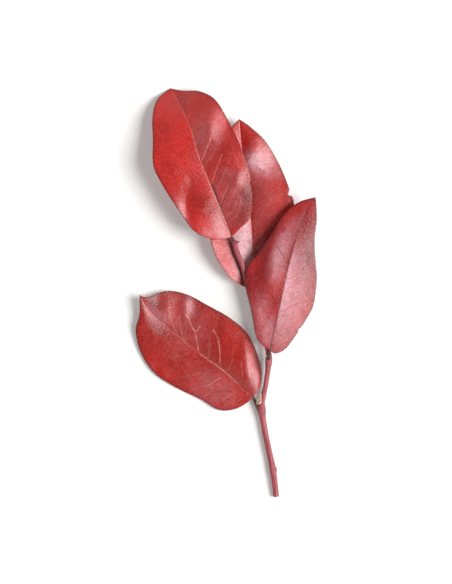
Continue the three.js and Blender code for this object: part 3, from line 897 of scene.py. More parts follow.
    @staticmethod
    def _end(wiring: Wiring, shape: Any, material: Any, leave: Any) -> bpy.types.NodeTree:
        """Makes the instances real, sets the material and ends the tree.

        Args:
            wiring: The tree's wiring.
            shape: The output with the whole shape.
            material: The output with the material.
            leave: The inputs of the tree's last node.

        Returns:
            The tree.
        """
        real = wiring.add("GeometryNodeRealizeInstances", None, {"Geometry": shape})
        dressed = wiring.add("GeometryNodeSetMaterial", None,
                             {"Geometry": real.outputs[0], "Material": material})
        wiring.feed(leave[0], dressed.outputs[0])
        return wiring.tree


# Leaves

@dataclass(frozen=True)
class Notch:
    """A nick in a margin, by its fraction of the margin's length and its depth in millimetres."""

    at: float
    depth: float


@dataclass(frozen=True)
class Patch:
    """A soft-edged long spot on a blade, in millimetres in the leaf's frame.

    The long axis is turned by so many degrees from the leaf's own x axis.
    """

    along: float
    left: float
    long_reach: float
    cross_reach: float
    turn: float
    strength: float

    def offsets(self, plan: Array) -> tuple[Array, Array]:
        """Works out how far points lie from the patch's middle.

        Args:
            plan: Points of the leaf's plane.

        Returns:
            The offsets along and across the patch, each as a share of its reach.
        """
        cos, sin = math.cos(math.radians(self.turn)), math.sin(math.radians(self.turn))
        dx, dy = plan[..., 0] - self.along, plan[..., 1] - self.left
        return (dx * cos + dy * sin) / self.long_reach, (dy * cos - dx * sin) / self.cross_reach

    def weight(self, plan: Array) -> Array:
        """How much each point of the leaf's plane belongs to the patch, from 0 to 1."""
        long, cross = self.offsets(plan)
        return bell(long, 1.0) * bell(cross, 1.0)


@dataclass(frozen=True)
class Facet(Patch):
    """A fold that tilts towards world +X; its strength is the slope added at its sharp edge.

    Its aim turns the way that it tilts, in degrees from world +X towards world +Y. The slope starts at a
    crease on the uphill side, or with sharp_side -1 on the downhill side, and fades over three times the
    cross reach.
    """

    aim: float = 0.0
    sharp_side: int = 1

    CREASE = 0.16
    FADE = 3
    SPREAD = 2.2

    def height(self, plan: Array, heading: float) -> Array:
        """Works out the rise that the fold gives.

        Args:
            plan: Points of the leaf's plane.
            heading: The way that the leaf points, in degrees from world +X.

        Returns:
            The rise of each point in millimetres.
        """
        down = math.radians(self.aim - heading)
        fall = (plan[..., 0] - self.along) * math.cos(down) + (plan[..., 1] - self.left) * math.sin(down)
        reach, crease = self.cross_reach, self.CREASE * self.cross_reach
        past = crease * np.logaddexp(0, (self.sharp_side * fall + reach) / crease)
        past = np.minimum(past, self.FADE * reach)
        step = self.sharp_side * (past - past**2 / (2 * self.FADE * reach) - self.FADE * reach / 4)
        return -self.strength * step * replace(self, cross_reach=self.SPREAD * reach).weight(plan)


class StainAndShade(Patch):
    """A darker patch, partly dried colour and partly painted shade and painted shadow; its strength is the
    share of the dark tone.
    """


@dataclass(frozen=True)
class BloomAndSheen(Patch):
    """A patch of pale waxy coat and painted sheen, the pale tone standing in for the satin shine; its
    strength is the share of the pale tone.

    With side 1 it stays left of the midrib, with side -1 right of it.
    """

    side: int = 0

    def weight(self, plan: Array) -> Array:
        """How much each point of the leaf's plane belongs to the patch, level inside and 0 outside."""
        long, cross = self.offsets(plan)
        return bell(long**2 + cross**2, 1.0)


@dataclass(frozen=True)
class Vein:
    """A vein that stands out, through points of the leaf's plane, in millimetres."""

    points: tuple[Point, ...]
    strength: float = 1.0
    width: float = 0.22

    STEPS = 8
    WANDER = 0.12
    WANDER_TURNS = (37.0, 29.0)

    def near(self, plan: Array) -> Array:
        """Works out how near points are to the vein.

        Args:
            plan: Points of the leaf's plane.

        Returns:
            The vein's strength on its line, and less with the distance from it.
        """
        steps = np.linspace(0, 1, self.STEPS * len(self.points))
        line = catmull_rom(np.array(self.points), steps)
        line = line + self.WANDER * np.sin(np.outer(steps, self.WANDER_TURNS))
        distance = np.full(plan.shape[:2], np.inf)
        for start, end in zip(line, line[1:]):
            span = end - start
            share = np.clip((plan - start) @ span / (span @ span), 0, 1)
            distance = np.minimum(distance, np.linalg.norm(plan - start - share[..., None] * span, axis=-1))
        return self.strength * bell(distance, self.width)


@dataclass(frozen=True)
class HalfBlade:
    """One side of a blade, in millimetres: its margin, heights, arch and side veins.

    Each side vein is a fraction of the blade's length. Fainter ones run between them. A kind of vein has
    its strength and the share of the half width that it reaches. A sway has its size, its turns over the
    half width and its shift from vein to vein.
    """

    margin: tuple[Point, ...]
    lift: tuple[float, ...]
    crown: tuple[float, ...]
    veins: tuple[float, ...]
    ripple_phase: float
    vein_show: float = 1.0
    notches: tuple[Notch, ...] = ()

    NOTCH_REACH = 0.012
    MAIN_VEINS = (1.0, 0.9)
    FAINT_VEINS = (0.35, 0.6)
    VEIN_SWAYS = ((0.006, 9, 2.1), (0.003, 31, 1.0))
    VEIN_START = -0.05
    VEIN_LEAN = 0.12
    VEIN_CURL = 0.05
    VEIN_WIDTH = 0.13
    VEIN_SWELL = 0.16
    VEIN_FADE = 4
    VEIN_THINNING = 0.5
    PATCHINESS = 0.35
    PATCH_TURNS = (8, 4, 20)

    def cut(self, along: Array) -> Array:
        """How far the margin is nicked in at each row, in millimetres."""
        return sum((notch.depth * bell(along - notch.at, self.NOTCH_REACH) for notch in self.notches),
                   np.zeros_like(along))

    def quilt(self, along: Array) -> Array:
        """How far the blade swells between its side veins at each row, from 0 to 1."""
        marks = np.array([0, *self.veins, 1])
        return np.abs(np.sin(np.pi * np.interp(along, marks, np.arange(len(marks)))))

    def side_veins(self, along: Array, out: Array, spacing: Array) -> Array:
        """Works out how near points are to a side vein.

        Args:
            along: The row of each point.
            out: The share of the half width of each point.
            spacing: Millimetres to one whole turn of along at each point.

        Returns:
            The shown strength on a vein, and 0 away from every vein.
        """
        near = np.zeros((len(along), out.shape[1]))
        between = tuple((a + b) / 2 for a, b in zip(self.veins, self.veins[1:]))
        thick = self.VEIN_WIDTH + self.VEIN_SWELL * (1 - out)
        over, step, start = self.PATCH_TURNS
        for veins, (strength, reach) in ((self.veins, self.MAIN_VEINS), (between, self.FAINT_VEINS)):
            for number, vein in enumerate(veins):
                sway = sum(size * np.sin(turns * out + shift * number)
                           for size, turns, shift in self.VEIN_SWAYS)
                path = vein + self.VEIN_START + self.VEIN_LEAN * out + self.VEIN_CURL * out**3 + sway
                wave = np.sin(over * out + step * number + start * vein)
                patchy = 1 - self.PATCHINESS + self.PATCHINESS * wave
                ending = np.clip((reach - out) * self.VEIN_FADE, 0, 1) * (1 - self.VEIN_THINNING * out)
                fade = strength * patchy * ending
                near = np.maximum(near, fade * bell((along - path) * spacing, thick))
        return self.vein_show * near


@dataclass(frozen=True)
class Blade:
    """One leaf: its place, outline and heights, and the petiole that carries it, in millimetres.

    The rows lag towards the foot along the rib and bend back between rib and margin, as side veins do. The
    columns are closer at the rib, and the rim steps put a few more at the margins.
    """

    node: str
    foot: Place
    heading: float
    length: float
    midrib: tuple[Point, ...]
    midrib_lift: tuple[float, ...]
    left: HalfBlade
    right: HalfBlade
    ripples: float
    ripple_height: float
    petiole: tuple[Place, ...]
    finish: LeafFinish
    facets: tuple[Facet, ...] = ()
    # Stain patches are partly dried colour and partly painted shade and shadow; pale patches are partly a
    # waxy coat and partly painted sheen; crease lines paint shade along sunken veins.
    stains_and_shades: tuple[StainAndShade, ...] = ()
    blooms_and_sheens: tuple[BloomAndSheen, ...] = ()
    marked_veins: tuple[Vein, ...] = ()
    painted_crease_shades: tuple[Vein, ...] = ()
    rib_shows: tuple[float, ...] = (1, 1)
    rib_groove: float = 0.22
    vein_groove: float = 0.08
    marked_groove: float = 0.1
    side_keel: float = 0.2
    side_tint: float = 0.34
    dark_rim_and_shade_reach: float = 0.6
    rim_round: float = 0.35
    relief_from_rim: float = 1.5
    crumple_seed: int = 3
    thickness: float = 0.42
    rows: int = 300
    columns: int = 62
    tooth_pitch: float = 2.0

    ROW_LAG = 1.35
    ROW_BEND = 2.2
    QUILT_RISE = 0.15
    COLUMN_LAG = 1.25
    RIM_STEPS = (0.972, 0.984, 0.993, 1.0)
    CRUMPLE_WAVES = 24
    CRUMPLE_LENGTHS = (3.5, 10.0)
    CRUMPLE_SLOPE = 0.05
    RIB_WIDTH = 0.22
    RIB_SWELL = 0.5
    RIB_TINT_SWELL = 0.14
    GROOVE_FADE = 6
    KEEL_AT_TIP = 0.25
    KEEL_WIDER = 0.45
    LOWEST = 0.01
    PLANE_UNIT = 100
    TEETH_FROM_FOOT = 4.0
    TEETH_FROM_TIP = 2.0
    TOOTH_SUNK = 0.1
    TOOTH_AIM = (0.8, 0.6)

    def piece_name(self, part: str) -> str:
        """The name of one of the leaf's pieces."""
        return self.node.replace("leaf", part)

    def across_steps(self) -> Array:
        """Places the columns, closer at the rib and at the rims.

        Returns:
            Places across the blade, from -1 at the left margin to 1 at the right.
        """
        last, *rim = self.RIM_STEPS
        half = np.concatenate([np.linspace(0, 1, self.columns) ** self.COLUMN_LAG * last, rim])
        return np.concatenate([-half[:0:-1], half])

    def crumple(self, plan: Array) -> Array:
        """Works out small soft dents, the same at every run.

        Args:
            plan: Points of the leaf's plane.

        Returns:
            The rise of each point in millimetres.
        """
        rng = np.random.default_rng(self.crumple_seed)
        dents = np.zeros(plan.shape[:2])
        for _ in range(self.CRUMPLE_WAVES):
            length = rng.uniform(*self.CRUMPLE_LENGTHS)
            turn, phase = rng.uniform(0, 2 * np.pi, 2)
            line = plan[..., 0] * np.cos(turn) + plan[..., 1] * np.sin(turn)
            dents += length * np.sin(2 * np.pi * line / length + phase)
        return self.CRUMPLE_SLOPE * dents / self.CRUMPLE_WAVES

    def sheet(self, along: Array, across: Array) -> tuple[Array, Array, Array]:
        """Works out the sheet in the middle of the blade's thickness.

        Args:
            along: The rows' places from foot to tip, as a column.
            across: The columns' places from margin to margin, as a row.

        Returns:
            Each point's place in the leaf's plane, its height, and the width of its half.
        """
        out, swell = np.abs(across), np.sin(np.pi * along)
        lagged = along[:, 0] ** self.ROW_LAG
        rib, _ = by_length([(0, 0), *self.midrib, (self.length, 0)], lagged)
        rib_lift = smooth_value(self.midrib_lift, lagged)[:, None]
        plan = np.zeros((len(along), across.shape[1], 2))
        height, width = np.zeros(plan.shape[:2]), np.zeros(plan.shape[:2])
        for half, sign, chosen in ((self.left, 1, across[0] < 0), (self.right, -1, across[0] >= 0)):
            outline = [(0, 0), *[(x, sign * y) for x, y in half.margin], (self.length, 0)]
            margin, _ = by_length(outline, along[:, 0])
            reach = np.linalg.norm(margin - rib, axis=1)[:, None]
            share = out[:, chosen] * (1 - half.cut(along) / np.maximum(reach, 1))
            bow = 4 * share * (1 - share)
            spot = rib[:, None] + (margin - rib)[:, None] * share[..., None]
            spot[..., 0] -= self.ROW_BEND * bow * swell
            plan[:, chosen], width[:, chosen] = spot, reach
            ripple = np.sin(2 * np.pi * (self.ripples * along + half.ripple_phase))
            height[:, chosen] = (
                rib_lift + (smooth_value(half.lift, along[:, 0])[:, None] - rib_lift) * share
                + smooth_value(half.crown, along[:, 0])[:, None] * bow
                + self.ripple_height * ripple * share**2 * swell
                + self.QUILT_RISE * half.quilt(along) * bow * swell
            )
        height += self.crumple(plan) * (out**0.5) * swell
        for facet in self.facets:
            height += facet.height(plan, self.heading)
        return plan, height, width

    def grid(self) -> dict[str, Array]:
        """Works out the blade's surfaces.

        Returns:
            Arrays over rows and columns: upper and lower points in millimetres in the leaf's frame, their
            place in the leaf's plane, and the named values of the skin.
        """
        along = np.linspace(0, 1, self.rows + 1)[1:-1, None]
        across = self.across_steps()[None, :]
        out, to_tip = np.abs(across), 1 - along
        plan, height, width = self.sheet(along, across)
        from_rib, from_rim = out * width, (1 - out) * width
        middle = np.dstack([plan, height])
        row_step, column_step = np.gradient(middle, axis=0), np.gradient(middle, axis=1)
        normal = np.cross(column_step, row_step)
        normal /= np.linalg.norm(normal, axis=2)[..., None]
        spacing = np.linalg.norm(row_step, axis=2) * self.rows
        side_vein = np.hstack([
            half.side_veins(along, out[:, chosen], spacing[:, chosen])
            for half, chosen in ((self.left, across[0] < 0), (self.right, across[0] >= 0))
        ])
        marked = most([vein.near(plan) for vein in self.marked_veins], width)
        rib_width = self.RIB_WIDTH + self.RIB_SWELL * to_tip
        groove = (self.rib_groove * np.clip(to_tip * self.GROOVE_FADE, 0, 1) * bell(from_rib, rib_width)
                  + self.vein_groove * side_vein + self.marked_groove * marked)
        keel_height = self.KEEL_AT_TIP + (1 - self.KEEL_AT_TIP) * to_tip
        keel = keel_height * bell(from_rib, rib_width + self.KEEL_WIDER) + self.side_keel * side_vein
        rim = np.clip(from_rim / self.rim_round, 0, 1)
        half_thickness = (self.thickness / 2 * np.sqrt(1 - (1 - rim) ** 2))[..., None]
        upper, lower = middle + normal * half_thickness, middle - normal * half_thickness
        inner = np.clip(from_rim / self.relief_from_rim, 0, 1)
        upper[..., 2] -= groove * inner
        lower[..., 2] -= keel * inner
        rib_shows = smooth_value(self.rib_shows, along[:, 0] ** self.ROW_LAG)[:, None]
        rib_tint = rib_shows * bell(from_rib, self.RIB_WIDTH + self.RIB_TINT_SWELL * to_tip)
        return {
            "upper": upper,
            "lower": lower,
            "plane": plan,
            "vein": most([rib_tint, self.side_tint * side_vein, marked], width),
            # The edge value darkens a rim on every margin, partly as painted shade.
            "edge": np.exp(-from_rim / self.dark_rim_and_shade_reach),
            **self.tones(plan, across),
        }

    def tones(self, plan: Array, across: Array) -> dict[str, Array]:
        """Works out where the skin is darker, by dried colour and painted shade and shadow, and where it is
        paler, by a waxy coat and painted sheen.

        Args:
            plan: Points of the leaf's plane.
            across: The columns' places from margin to margin, as a row.

        Returns:
            The named values of the skin, each from 0 to 1.
        """
        none = np.zeros(plan.shape[:2])
        # Crease lines paint shade along sunken veins in the dark tone.
        crease_shade = most([crease.near(plan) for crease in self.painted_crease_shades], none)
        stains_and_shades = sum((stain_and_shade.strength * stain_and_shade.weight(plan) for stain_and_shade in self.stains_and_shades), none)
        blooms_and_sheens = sum((bloom_and_sheen.strength * bloom_and_sheen.weight(plan) * (bloom_and_sheen.side * across <= 0)
                      for bloom_and_sheen in self.blooms_and_sheens), none)
        return {"stain_and_shade": np.clip(stains_and_shades + crease_shade, 0, 1), "bloom_and_sheen": np.clip(blooms_and_sheens, 0, 1)}

    def to_world(self, points: Array) -> Array:
        """Turns and moves points from the leaf's frame to the part's.

        Args:
            points: Points in millimetres.

        Returns:
            The points in metres, none of them below the table.
        """
        turn = math.radians(self.heading)
        cos, sin = math.cos(turn), math.sin(turn)
        x, y, z = points[..., 0], points[..., 1], points[..., 2]
        placed = np.stack([x * cos - y * sin, x * sin + y * cos, z], axis=-1) + np.array(self.foot)
        placed[..., 2] = np.maximum(placed[..., 2], self.LOWEST)
        return placed * MM

    def build(self, effects: Effects) -> bpy.types.Object:
        """Builds the blade as one closed mesh.

        Args:
            effects: The shared node groups.

        Returns:
            The blade's object.
        """
        grid = self.grid()
        rows, columns = grid["vein"].shape
        ends = np.array([[0, 0, self.midrib_lift[0]], [self.length, 0, self.midrib_lift[-1]]])
        points = np.vstack([grid["upper"].reshape(-1, 3), grid["lower"].reshape(-1, 3), ends])
        upper = np.arange(rows * columns).reshape(rows, columns)
        lower = upper + rows * columns
        lower[:, 0], lower[:, -1] = upper[:, 0], upper[:, -1]
        foot, tip = (np.full(columns - 1, 2 * rows * columns + end) for end in (0, 1))
        faces: list[tuple[int, ...]] = []
        for side, flip in ((upper, False), (lower, True)):
            faces += quads(side, flip)
            faces += corner_faces([foot, side[0, 1:], side[0, :-1]], flip)
            faces += corner_faces([tip, side[-1, :-1], side[-1, 1:]], flip)
        at_ends = {"vein": 1.0, "edge": 1.0, "stain_and_shade": 0.0, "bloom_and_sheen": 0.0}
        values = {name: np.concatenate([grid[name].ravel(), grid[name].ravel(), [end, end]])
                  for name, end in at_ends.items()}
        values["under"] = np.repeat([0.0, 1.0, 0.5], [rows * columns, rows * columns, 2])
        plane = np.vstack([grid["plane"].reshape(-1, 2)] * 2 + [ends[:, :2]]) / self.PLANE_UNIT
        piece = mesh_object(self.piece_name("blade"), self.to_world(points), faces,
                            self.finish.material(effects), values, plane)
        drop_loose_vertices(piece.data)
        return piece

    def margin_teeth(self, growth: Growth, skin: bpy.types.Material) -> bpy.types.Object:
        """Grows the fine teeth of both margins.

        Args:
            growth: The geometry node trees.
            skin: The teeth's finish.

        Returns:
            One object with all the teeth.
        """
        upper = self.grid()["upper"]
        spots, aims = [], []
        for margin, inner in ((0, 3), (-1, -4)):
            line = self.to_world(upper[:, margin])
            outward = line - self.to_world(upper[:, inner])
            forward = np.gradient(line, axis=0)
            length = np.concatenate([[0], np.cumsum(np.linalg.norm(np.diff(line, axis=0), axis=1))])
            wanted = np.arange(self.TEETH_FROM_FOOT * MM, length[-1] - self.TEETH_FROM_TIP * MM,
                               self.tooth_pitch * MM)
            rows = np.searchsorted(length, wanted)
            outward /= np.linalg.norm(outward, axis=1)[:, None]
            forward /= np.linalg.norm(forward, axis=1)[:, None]
            spots.append(line[rows] - self.TOOTH_SUNK * MM * outward[rows])
            aims.append(self.TOOTH_AIM[0] * forward[rows] + self.TOOTH_AIM[1] * outward[rows])
        carrier = mesh_object(self.piece_name("teeth"), np.vstack(spots), [], skin, {"aim": np.vstack(aims)})
        return grown_by_nodes(carrier, growth.teeth, {"Skin": skin})


# Stem

@dataclass(frozen=True)
class Rod:
    """A woody rod through stations of x, y, z and radius, in millimetres, with swollen nodes along Y."""

    name: str
    stations: tuple[tuple[float, float, float, float], ...]
    swells: tuple[Point, ...] = ()
    swell_reach: float = 3.2
    rings: int = 420
    sides: int = 40
    ridges: int = 7
    ridge_height: float = 0.04
    wrinkle_height: float = 0.16
    wart_density: float = 0.0
    seed: int = 11

    def line(self) -> tuple[Array, Array]:
        """Works out the rod's course.

        Returns:
            The axis in millimetres, one point a ring, and the radius at each.
        """
        stations = np.array(self.stations)
        axis, t = by_length(stations[:, :3], np.linspace(0, 1, self.rings), True)
        radius = smooth_value(tuple(stations[:, 3]), t)
        for y, swell in self.swells:
            radius = radius + swell * bell(axis[:, 1] - y, self.swell_reach)
        return axis, radius

    def build(self, growth: Growth, bark: bpy.types.Material) -> bpy.types.Object:
        """Sweeps the rod.

        Args:
            growth: The geometry node trees.
            bark: The rod's finish.

        Returns:
            The rod's object.
        """
        axis, radius = self.line()
        curve = bpy.data.curves.new(self.name, "CURVE")
        curve.dimensions = "3D"
        spline = curve.splines.new("POLY")
        spline.points.add(len(axis) - 1)
        spline.points.foreach_set("co", np.column_stack([axis * MM, np.ones(len(axis))]).ravel())
        spline.points.foreach_set("radius", radius * MM)
        return grown_by_nodes(link(self.name, curve), growth.rod, {
            "Sides": self.sides, "Ridges": self.ridges, "Ridge Height": self.ridge_height * MM,
            "Wrinkle Height": self.wrinkle_height * MM, "Wart Density": self.wart_density,
            "Seed": self.seed, "Bark": bark,
        })


@dataclass(frozen=True)
class Bud:
    """A scaly bud by its foot, the way it points, its length and its greatest radius, in millimetres."""

    name: str
    foot: Place
    towards: Place
    length: float
    radius: float
    scales: int = 7
    woody: bool = False

    SCALE_WIDTHS = (0.75, 0.95, 1.0, 0.96, 0.86, 0.7, 0.5, 0.27, 0.04)
    SCALE_SPREAD = (1.25, 0.35)
    SCALE_RADIUS = 0.72
    SCALE_THICKNESS = 0.1
    SCALE_COLUMNS = 9

    def build(self, growth: Growth, skin: bpy.types.Material) -> bpy.types.Object:
        """Grows the bud and sets it in its place.

        Args:
            growth: The geometry node trees.
            skin: The bud's finish.

        Returns:
            The bud's object.
        """
        bud = grown_by_nodes(self.scale_shape(skin), growth.bud, {
            "Scales": self.scales, "Bud Length": self.length * MM, "Bud Radius": self.radius * MM,
            "Skin": skin,
        })
        bud.data.transform(Matrix.Translation(Vector(self.foot) * MM) @ turned_to(self.towards))
        return bud

    def scale_shape(self, skin: bpy.types.Material) -> bpy.types.Object:
        """Makes one hollow-backed pointed scale about the +Z axis, one unit tall and one in radius.

        Args:
            skin: The bud's finish.

        Returns:
            The scale, which carries the bud's tree.
        """
        rows = len(self.SCALE_WIDTHS)
        up = np.linspace(0, 1, rows)
        angle = np.linspace(-1, 1, self.SCALE_COLUMNS) * np.linspace(*self.SCALE_SPREAD, rows)[:, None]
        shells = []
        for thick in (0.0, self.SCALE_THICKNESS):
            reach = (np.array(self.SCALE_WIDTHS) - thick * np.sqrt(1 - up))[:, None] * self.SCALE_RADIUS
            shell = np.dstack([reach * np.cos(angle), reach * np.sin(angle), up[:, None] + 0 * angle])
            shells.append(shell.reshape(-1, 3))
        outer = np.arange(angle.size).reshape(angle.shape)
        inner = outer + angle.size
        rims = [np.concatenate([side[0], side[1:, -1], side[-1, -2::-1], side[-2:0:-1, 0]])
                for side in (outer, inner)]
        edge = [np.roll(rims[0], -1), rims[0], rims[1], np.roll(rims[1], -1)]
        faces = quads(outer, False) + quads(inner, True) + corner_faces(edge, False)
        return mesh_object(self.name, np.vstack(shells), faces, skin)


@dataclass(frozen=True)
class CutFace:
    """The stem's clean cut: a slightly uneven disc just proud of the rod's flat end, in millimetres."""

    centre: Place
    axis: Place
    radius: float
    rings: int = 9
    turns: int = 40
    dome: float = 0.10
    unevenness: float = 0.012
    rim_drop: float = 0.05
    depth: float = 0.3
    seed: int = 5

    def build(self, finish: CutWoodFinish) -> bpy.types.Object:
        """Builds the disc.

        Args:
            finish: The cut wood's finish.

        Returns:
            The disc's object.
        """
        rng = np.random.default_rng(self.seed)
        share = np.linspace(0, 1, self.rings + 1)[1:, None]
        angle = np.linspace(0, 2 * np.pi, self.turns, endpoint=False)
        rise = self.dome * (1 - share**6) + rng.normal(0, self.unevenness, (self.rings, self.turns))
        rise[-1] = -self.rim_drop
        front = np.dstack([share * np.cos(angle) * self.radius, share * np.sin(angle) * self.radius, rise])
        points = np.vstack([front.reshape(-1, 3), [[0, 0, self.dome], [0, 0, -self.depth]]])
        number = np.arange(rise.size).reshape(rise.shape)
        closed = np.hstack([number, number[:, :1]])
        middle, back = (np.full(self.turns, rise.size + end) for end in (0, 1))
        faces = corner_faces([middle, closed[0, :-1], closed[0, 1:]], False)
        faces += quads(closed.T, False)
        faces += corner_faces([back, closed[-1, 1:], closed[-1, :-1]], False)
        centre = Vector(self.centre) * MM
        disc = mesh_object("stem_cut_face", points, faces, finish.material(tuple(centre), self.radius * MM))
        disc.data.transform(Matrix.Translation(centre) @ turned_to(self.axis) @ Matrix.Scale(MM, 4))
        return disc


# Studio

@dataclass(frozen=True)
class Softbox:
    """A rectangular light that faces the plant's middle, in metres and watts."""

    name: str
    place: Place
    width: float
    height: float
    power: float

    def build(self) -> None:
        """Hangs the light and turns it to the origin."""
        lamp = bpy.data.lights.new(self.name, "AREA")
        lamp.shape = "RECTANGLE"
        lamp.size, lamp.size_y = self.width, self.height
        lamp.energy = self.power
        light = link(self.name, lamp)
        light.location = self.place
        light.rotation_euler = (-Vector(self.place)).to_track_quat("-Z", "Y").to_euler()


@dataclass(frozen=True)
class Studio:
    """A pale table, a soft light and a camera that looks straight down at the lying stem."""

    image_height: int = 584
    mm_per_pixel: float = 0.54
    lens: float = 120.0
    sensor: float = 36.0
    view_end: float = 20.0
    table_side: float = 3.0
    table_tint: str = "#f4f3f1"
    table_glow: float = 0.14
    table_roughness: float = 0.9
    table_specular: float = 0.1
    sky_low: float = 1.15
    sky_overhead: float = 0.02
    sky_fades_from: float = 0.1
    key: Softbox = Softbox("key_softbox", (1.57, -0.2, 1.53), 1.15, 1.2, 56.0)

    def build(self) -> None:
        """Sets the table, the light, the sky and the camera."""
        self._table()
        self.key.build()
        self._sky()
        self._camera()

    def _table(self) -> None:
        """Lays the plain pale table top at z = 0."""
        material, wiring, shader = new_finish("pale_table")
        looks = {"Base Color": self.table_tint, "Roughness": self.table_roughness,
                 "Specular IOR Level": self.table_specular, "Emission Color": self.table_tint,
                 "Emission Strength": self.table_glow}
        for name, value in looks.items():
            wiring.feed(shader[name], value)
        half = self.table_side / 2
        corners = np.array([(-half, -half, 0), (half, -half, 0), (half, half, 0), (-half, half, 0)])
        mesh_object("table_top", corners, [(0, 1, 2, 3)], material)

    def _sky(self) -> None:
        """Sets a room that is bright low down and dark overhead."""
        world = bpy.data.worlds.new("pale_room")
        world.use_nodes = True
        wiring = Wiring(world.node_tree)
        towards = wiring.add("ShaderNodeTexCoord").outputs["Generated"]
        rise = wiring.add("ShaderNodeSeparateXYZ", None, {0: towards}).outputs["Z"]
        background = world.node_tree.nodes["Background"].inputs
        wiring.feed(background["Color"], "#ffffff")
        wiring.feed(background["Strength"],
                    wiring.remap(rise, self.sky_fades_from, 1.0, self.sky_low, self.sky_overhead))
        bpy.context.scene.world = world
        bpy.context.scene.view_settings.view_transform = "Standard"

    def _camera(self) -> None:
        """Hangs the camera over the middle of the picture, at the height that gives its scale."""
        camera = bpy.data.cameras.new("camera")
        camera.lens = self.lens
        camera.sensor_fit = "VERTICAL"
        camera.sensor_height = self.sensor
        camera.clip_end = self.view_end
        eye = link("camera", camera)
        eye.location = (0.0, 0.0, self.image_height * self.mm_per_pixel * MM * self.lens / self.sensor)
        bpy.context.scene.camera = eye


# The plant

RED = LeafFinish("leaf_red")
TOP_RED = LeafFinish("leaf_top_red", deep="#aa1612", bright="#c31f1a", flush="#d73429")
BACK_RED = LeafFinish("leaf_back_red", deep="#a41612", bright="#bb1c17", flush="#cf3225", bloom_and_sheen="#dfb0b8",
                      web_share=-0.25)
# Its dark vein tone paints shade in the sunken veins.
DULL_RED = LeafFinish("leaf_right_red", deep="#800f12", bright="#a3181a", flush="#b82b2a", vein="#5a171a",
                      bloom_and_sheen="#cc98a3", roughness=0.34, vein_tint=1.0, web_share=-0.3)

LEAF_BACK = Blade(
    node="leaf_back",
    foot=(14.0, 0.5, 3.0),
    heading=94.3,
    length=92.6,
    midrib=((17, -1.7), (40, -2.2), (66, -1.2), (84.5, -0.1)),
    midrib_lift=(0, -0.5, -1.5, -1.8, -0.2, 2.8),
    left=HalfBlade(
        margin=((2.5, 3.6), (7, 10.3), (14, 15.1), (23.5, 19.2), (37, 20.8), (51.5, 19.8), (66.5, 16.5),
                (79.5, 10.7), (88.5, 4.4)),
        lift=(0, 5.7, 6.6, 5.4, 4.0, 2.8),
        crown=(0, 0, 0, 0.3, 0.4, 0),
        veins=(0.15, 0.32, 0.48, 0.64, 0.8),
        ripple_phase=0.2,
    ),
    right=HalfBlade(
        margin=((0.6, 5.4), (6, 12.8), (17.5, 19.8), (31, 24.4), (44.5, 26), (54.5, 23.8), (67, 19.7),
                (79.5, 13.4), (88.2, 5.5)),
        lift=(0, 0.8, 1.6, 2.2, 1.2, 2.8),
        crown=(0, 0.5, 0.8, 2.2, 2.0, 0),
        veins=(0.22, 0.4, 0.56, 0.72, 0.86),
        ripple_phase=0.65,
        notches=(Notch(0.56, 1.6),),
    ),
    ripples=3.2,
    ripple_height=0.2,
    facets=(
        Facet(69.2, -10.0, 10.5, 7.5, 0, 0.5, -25),
        Facet(78.0, -5.2, 8.0, 3.0, 0, -0.2),
        Facet(6.0, 6.5, 9.0, 5.0, 0, 0.14, 10),
    ),
    # Pale patches, mostly painted sheen on the left half and on the band near the tip, partly a waxy coat.
    blooms_and_sheens=(
        BloomAndSheen(24.0, 2.0, 18.0, 7.5, 4, 0.85, 1),
        BloomAndSheen(15.0, 13.5, 17.0, 8.0, 20, 0.14, 1),
        BloomAndSheen(70.0, -10.0, 12.0, 8.0, -20, 0.22),
        BloomAndSheen(67.0, -11.0, 14.0, 5.5, 60, 0.28),
        BloomAndSheen(69.5, -6.2, 5.0, 4.0, 30, 0.35),
        BloomAndSheen(49.0, -9.0, 15.0, 10.0, 0, 0.14),
        BloomAndSheen(26.0, -5.0, 12.0, 4.5, 0, 0.12, -1),
    ),
    # Painted shadows of the stem, of the right leaf's upper margin and of the end bud.
    stains_and_shades=(
        StainAndShade(15.0, 6.9, 13.0, 1.2, 18, 0.8),
        StainAndShade(28.0, -11.5, 18.0, 1.4, -39, 0.6),
        StainAndShade(28.0, 6.5, 3.5, 3.0, 0, 0.4),
    ),
    petiole=((16.4, -9.5, 5.4), (16.9, -6.0, 4.3), (15.6, -2.0, 3.2), (14.0, 0.6, 2.7), (13.7, 4.2, 2.5)),
    finish=BACK_RED,
)

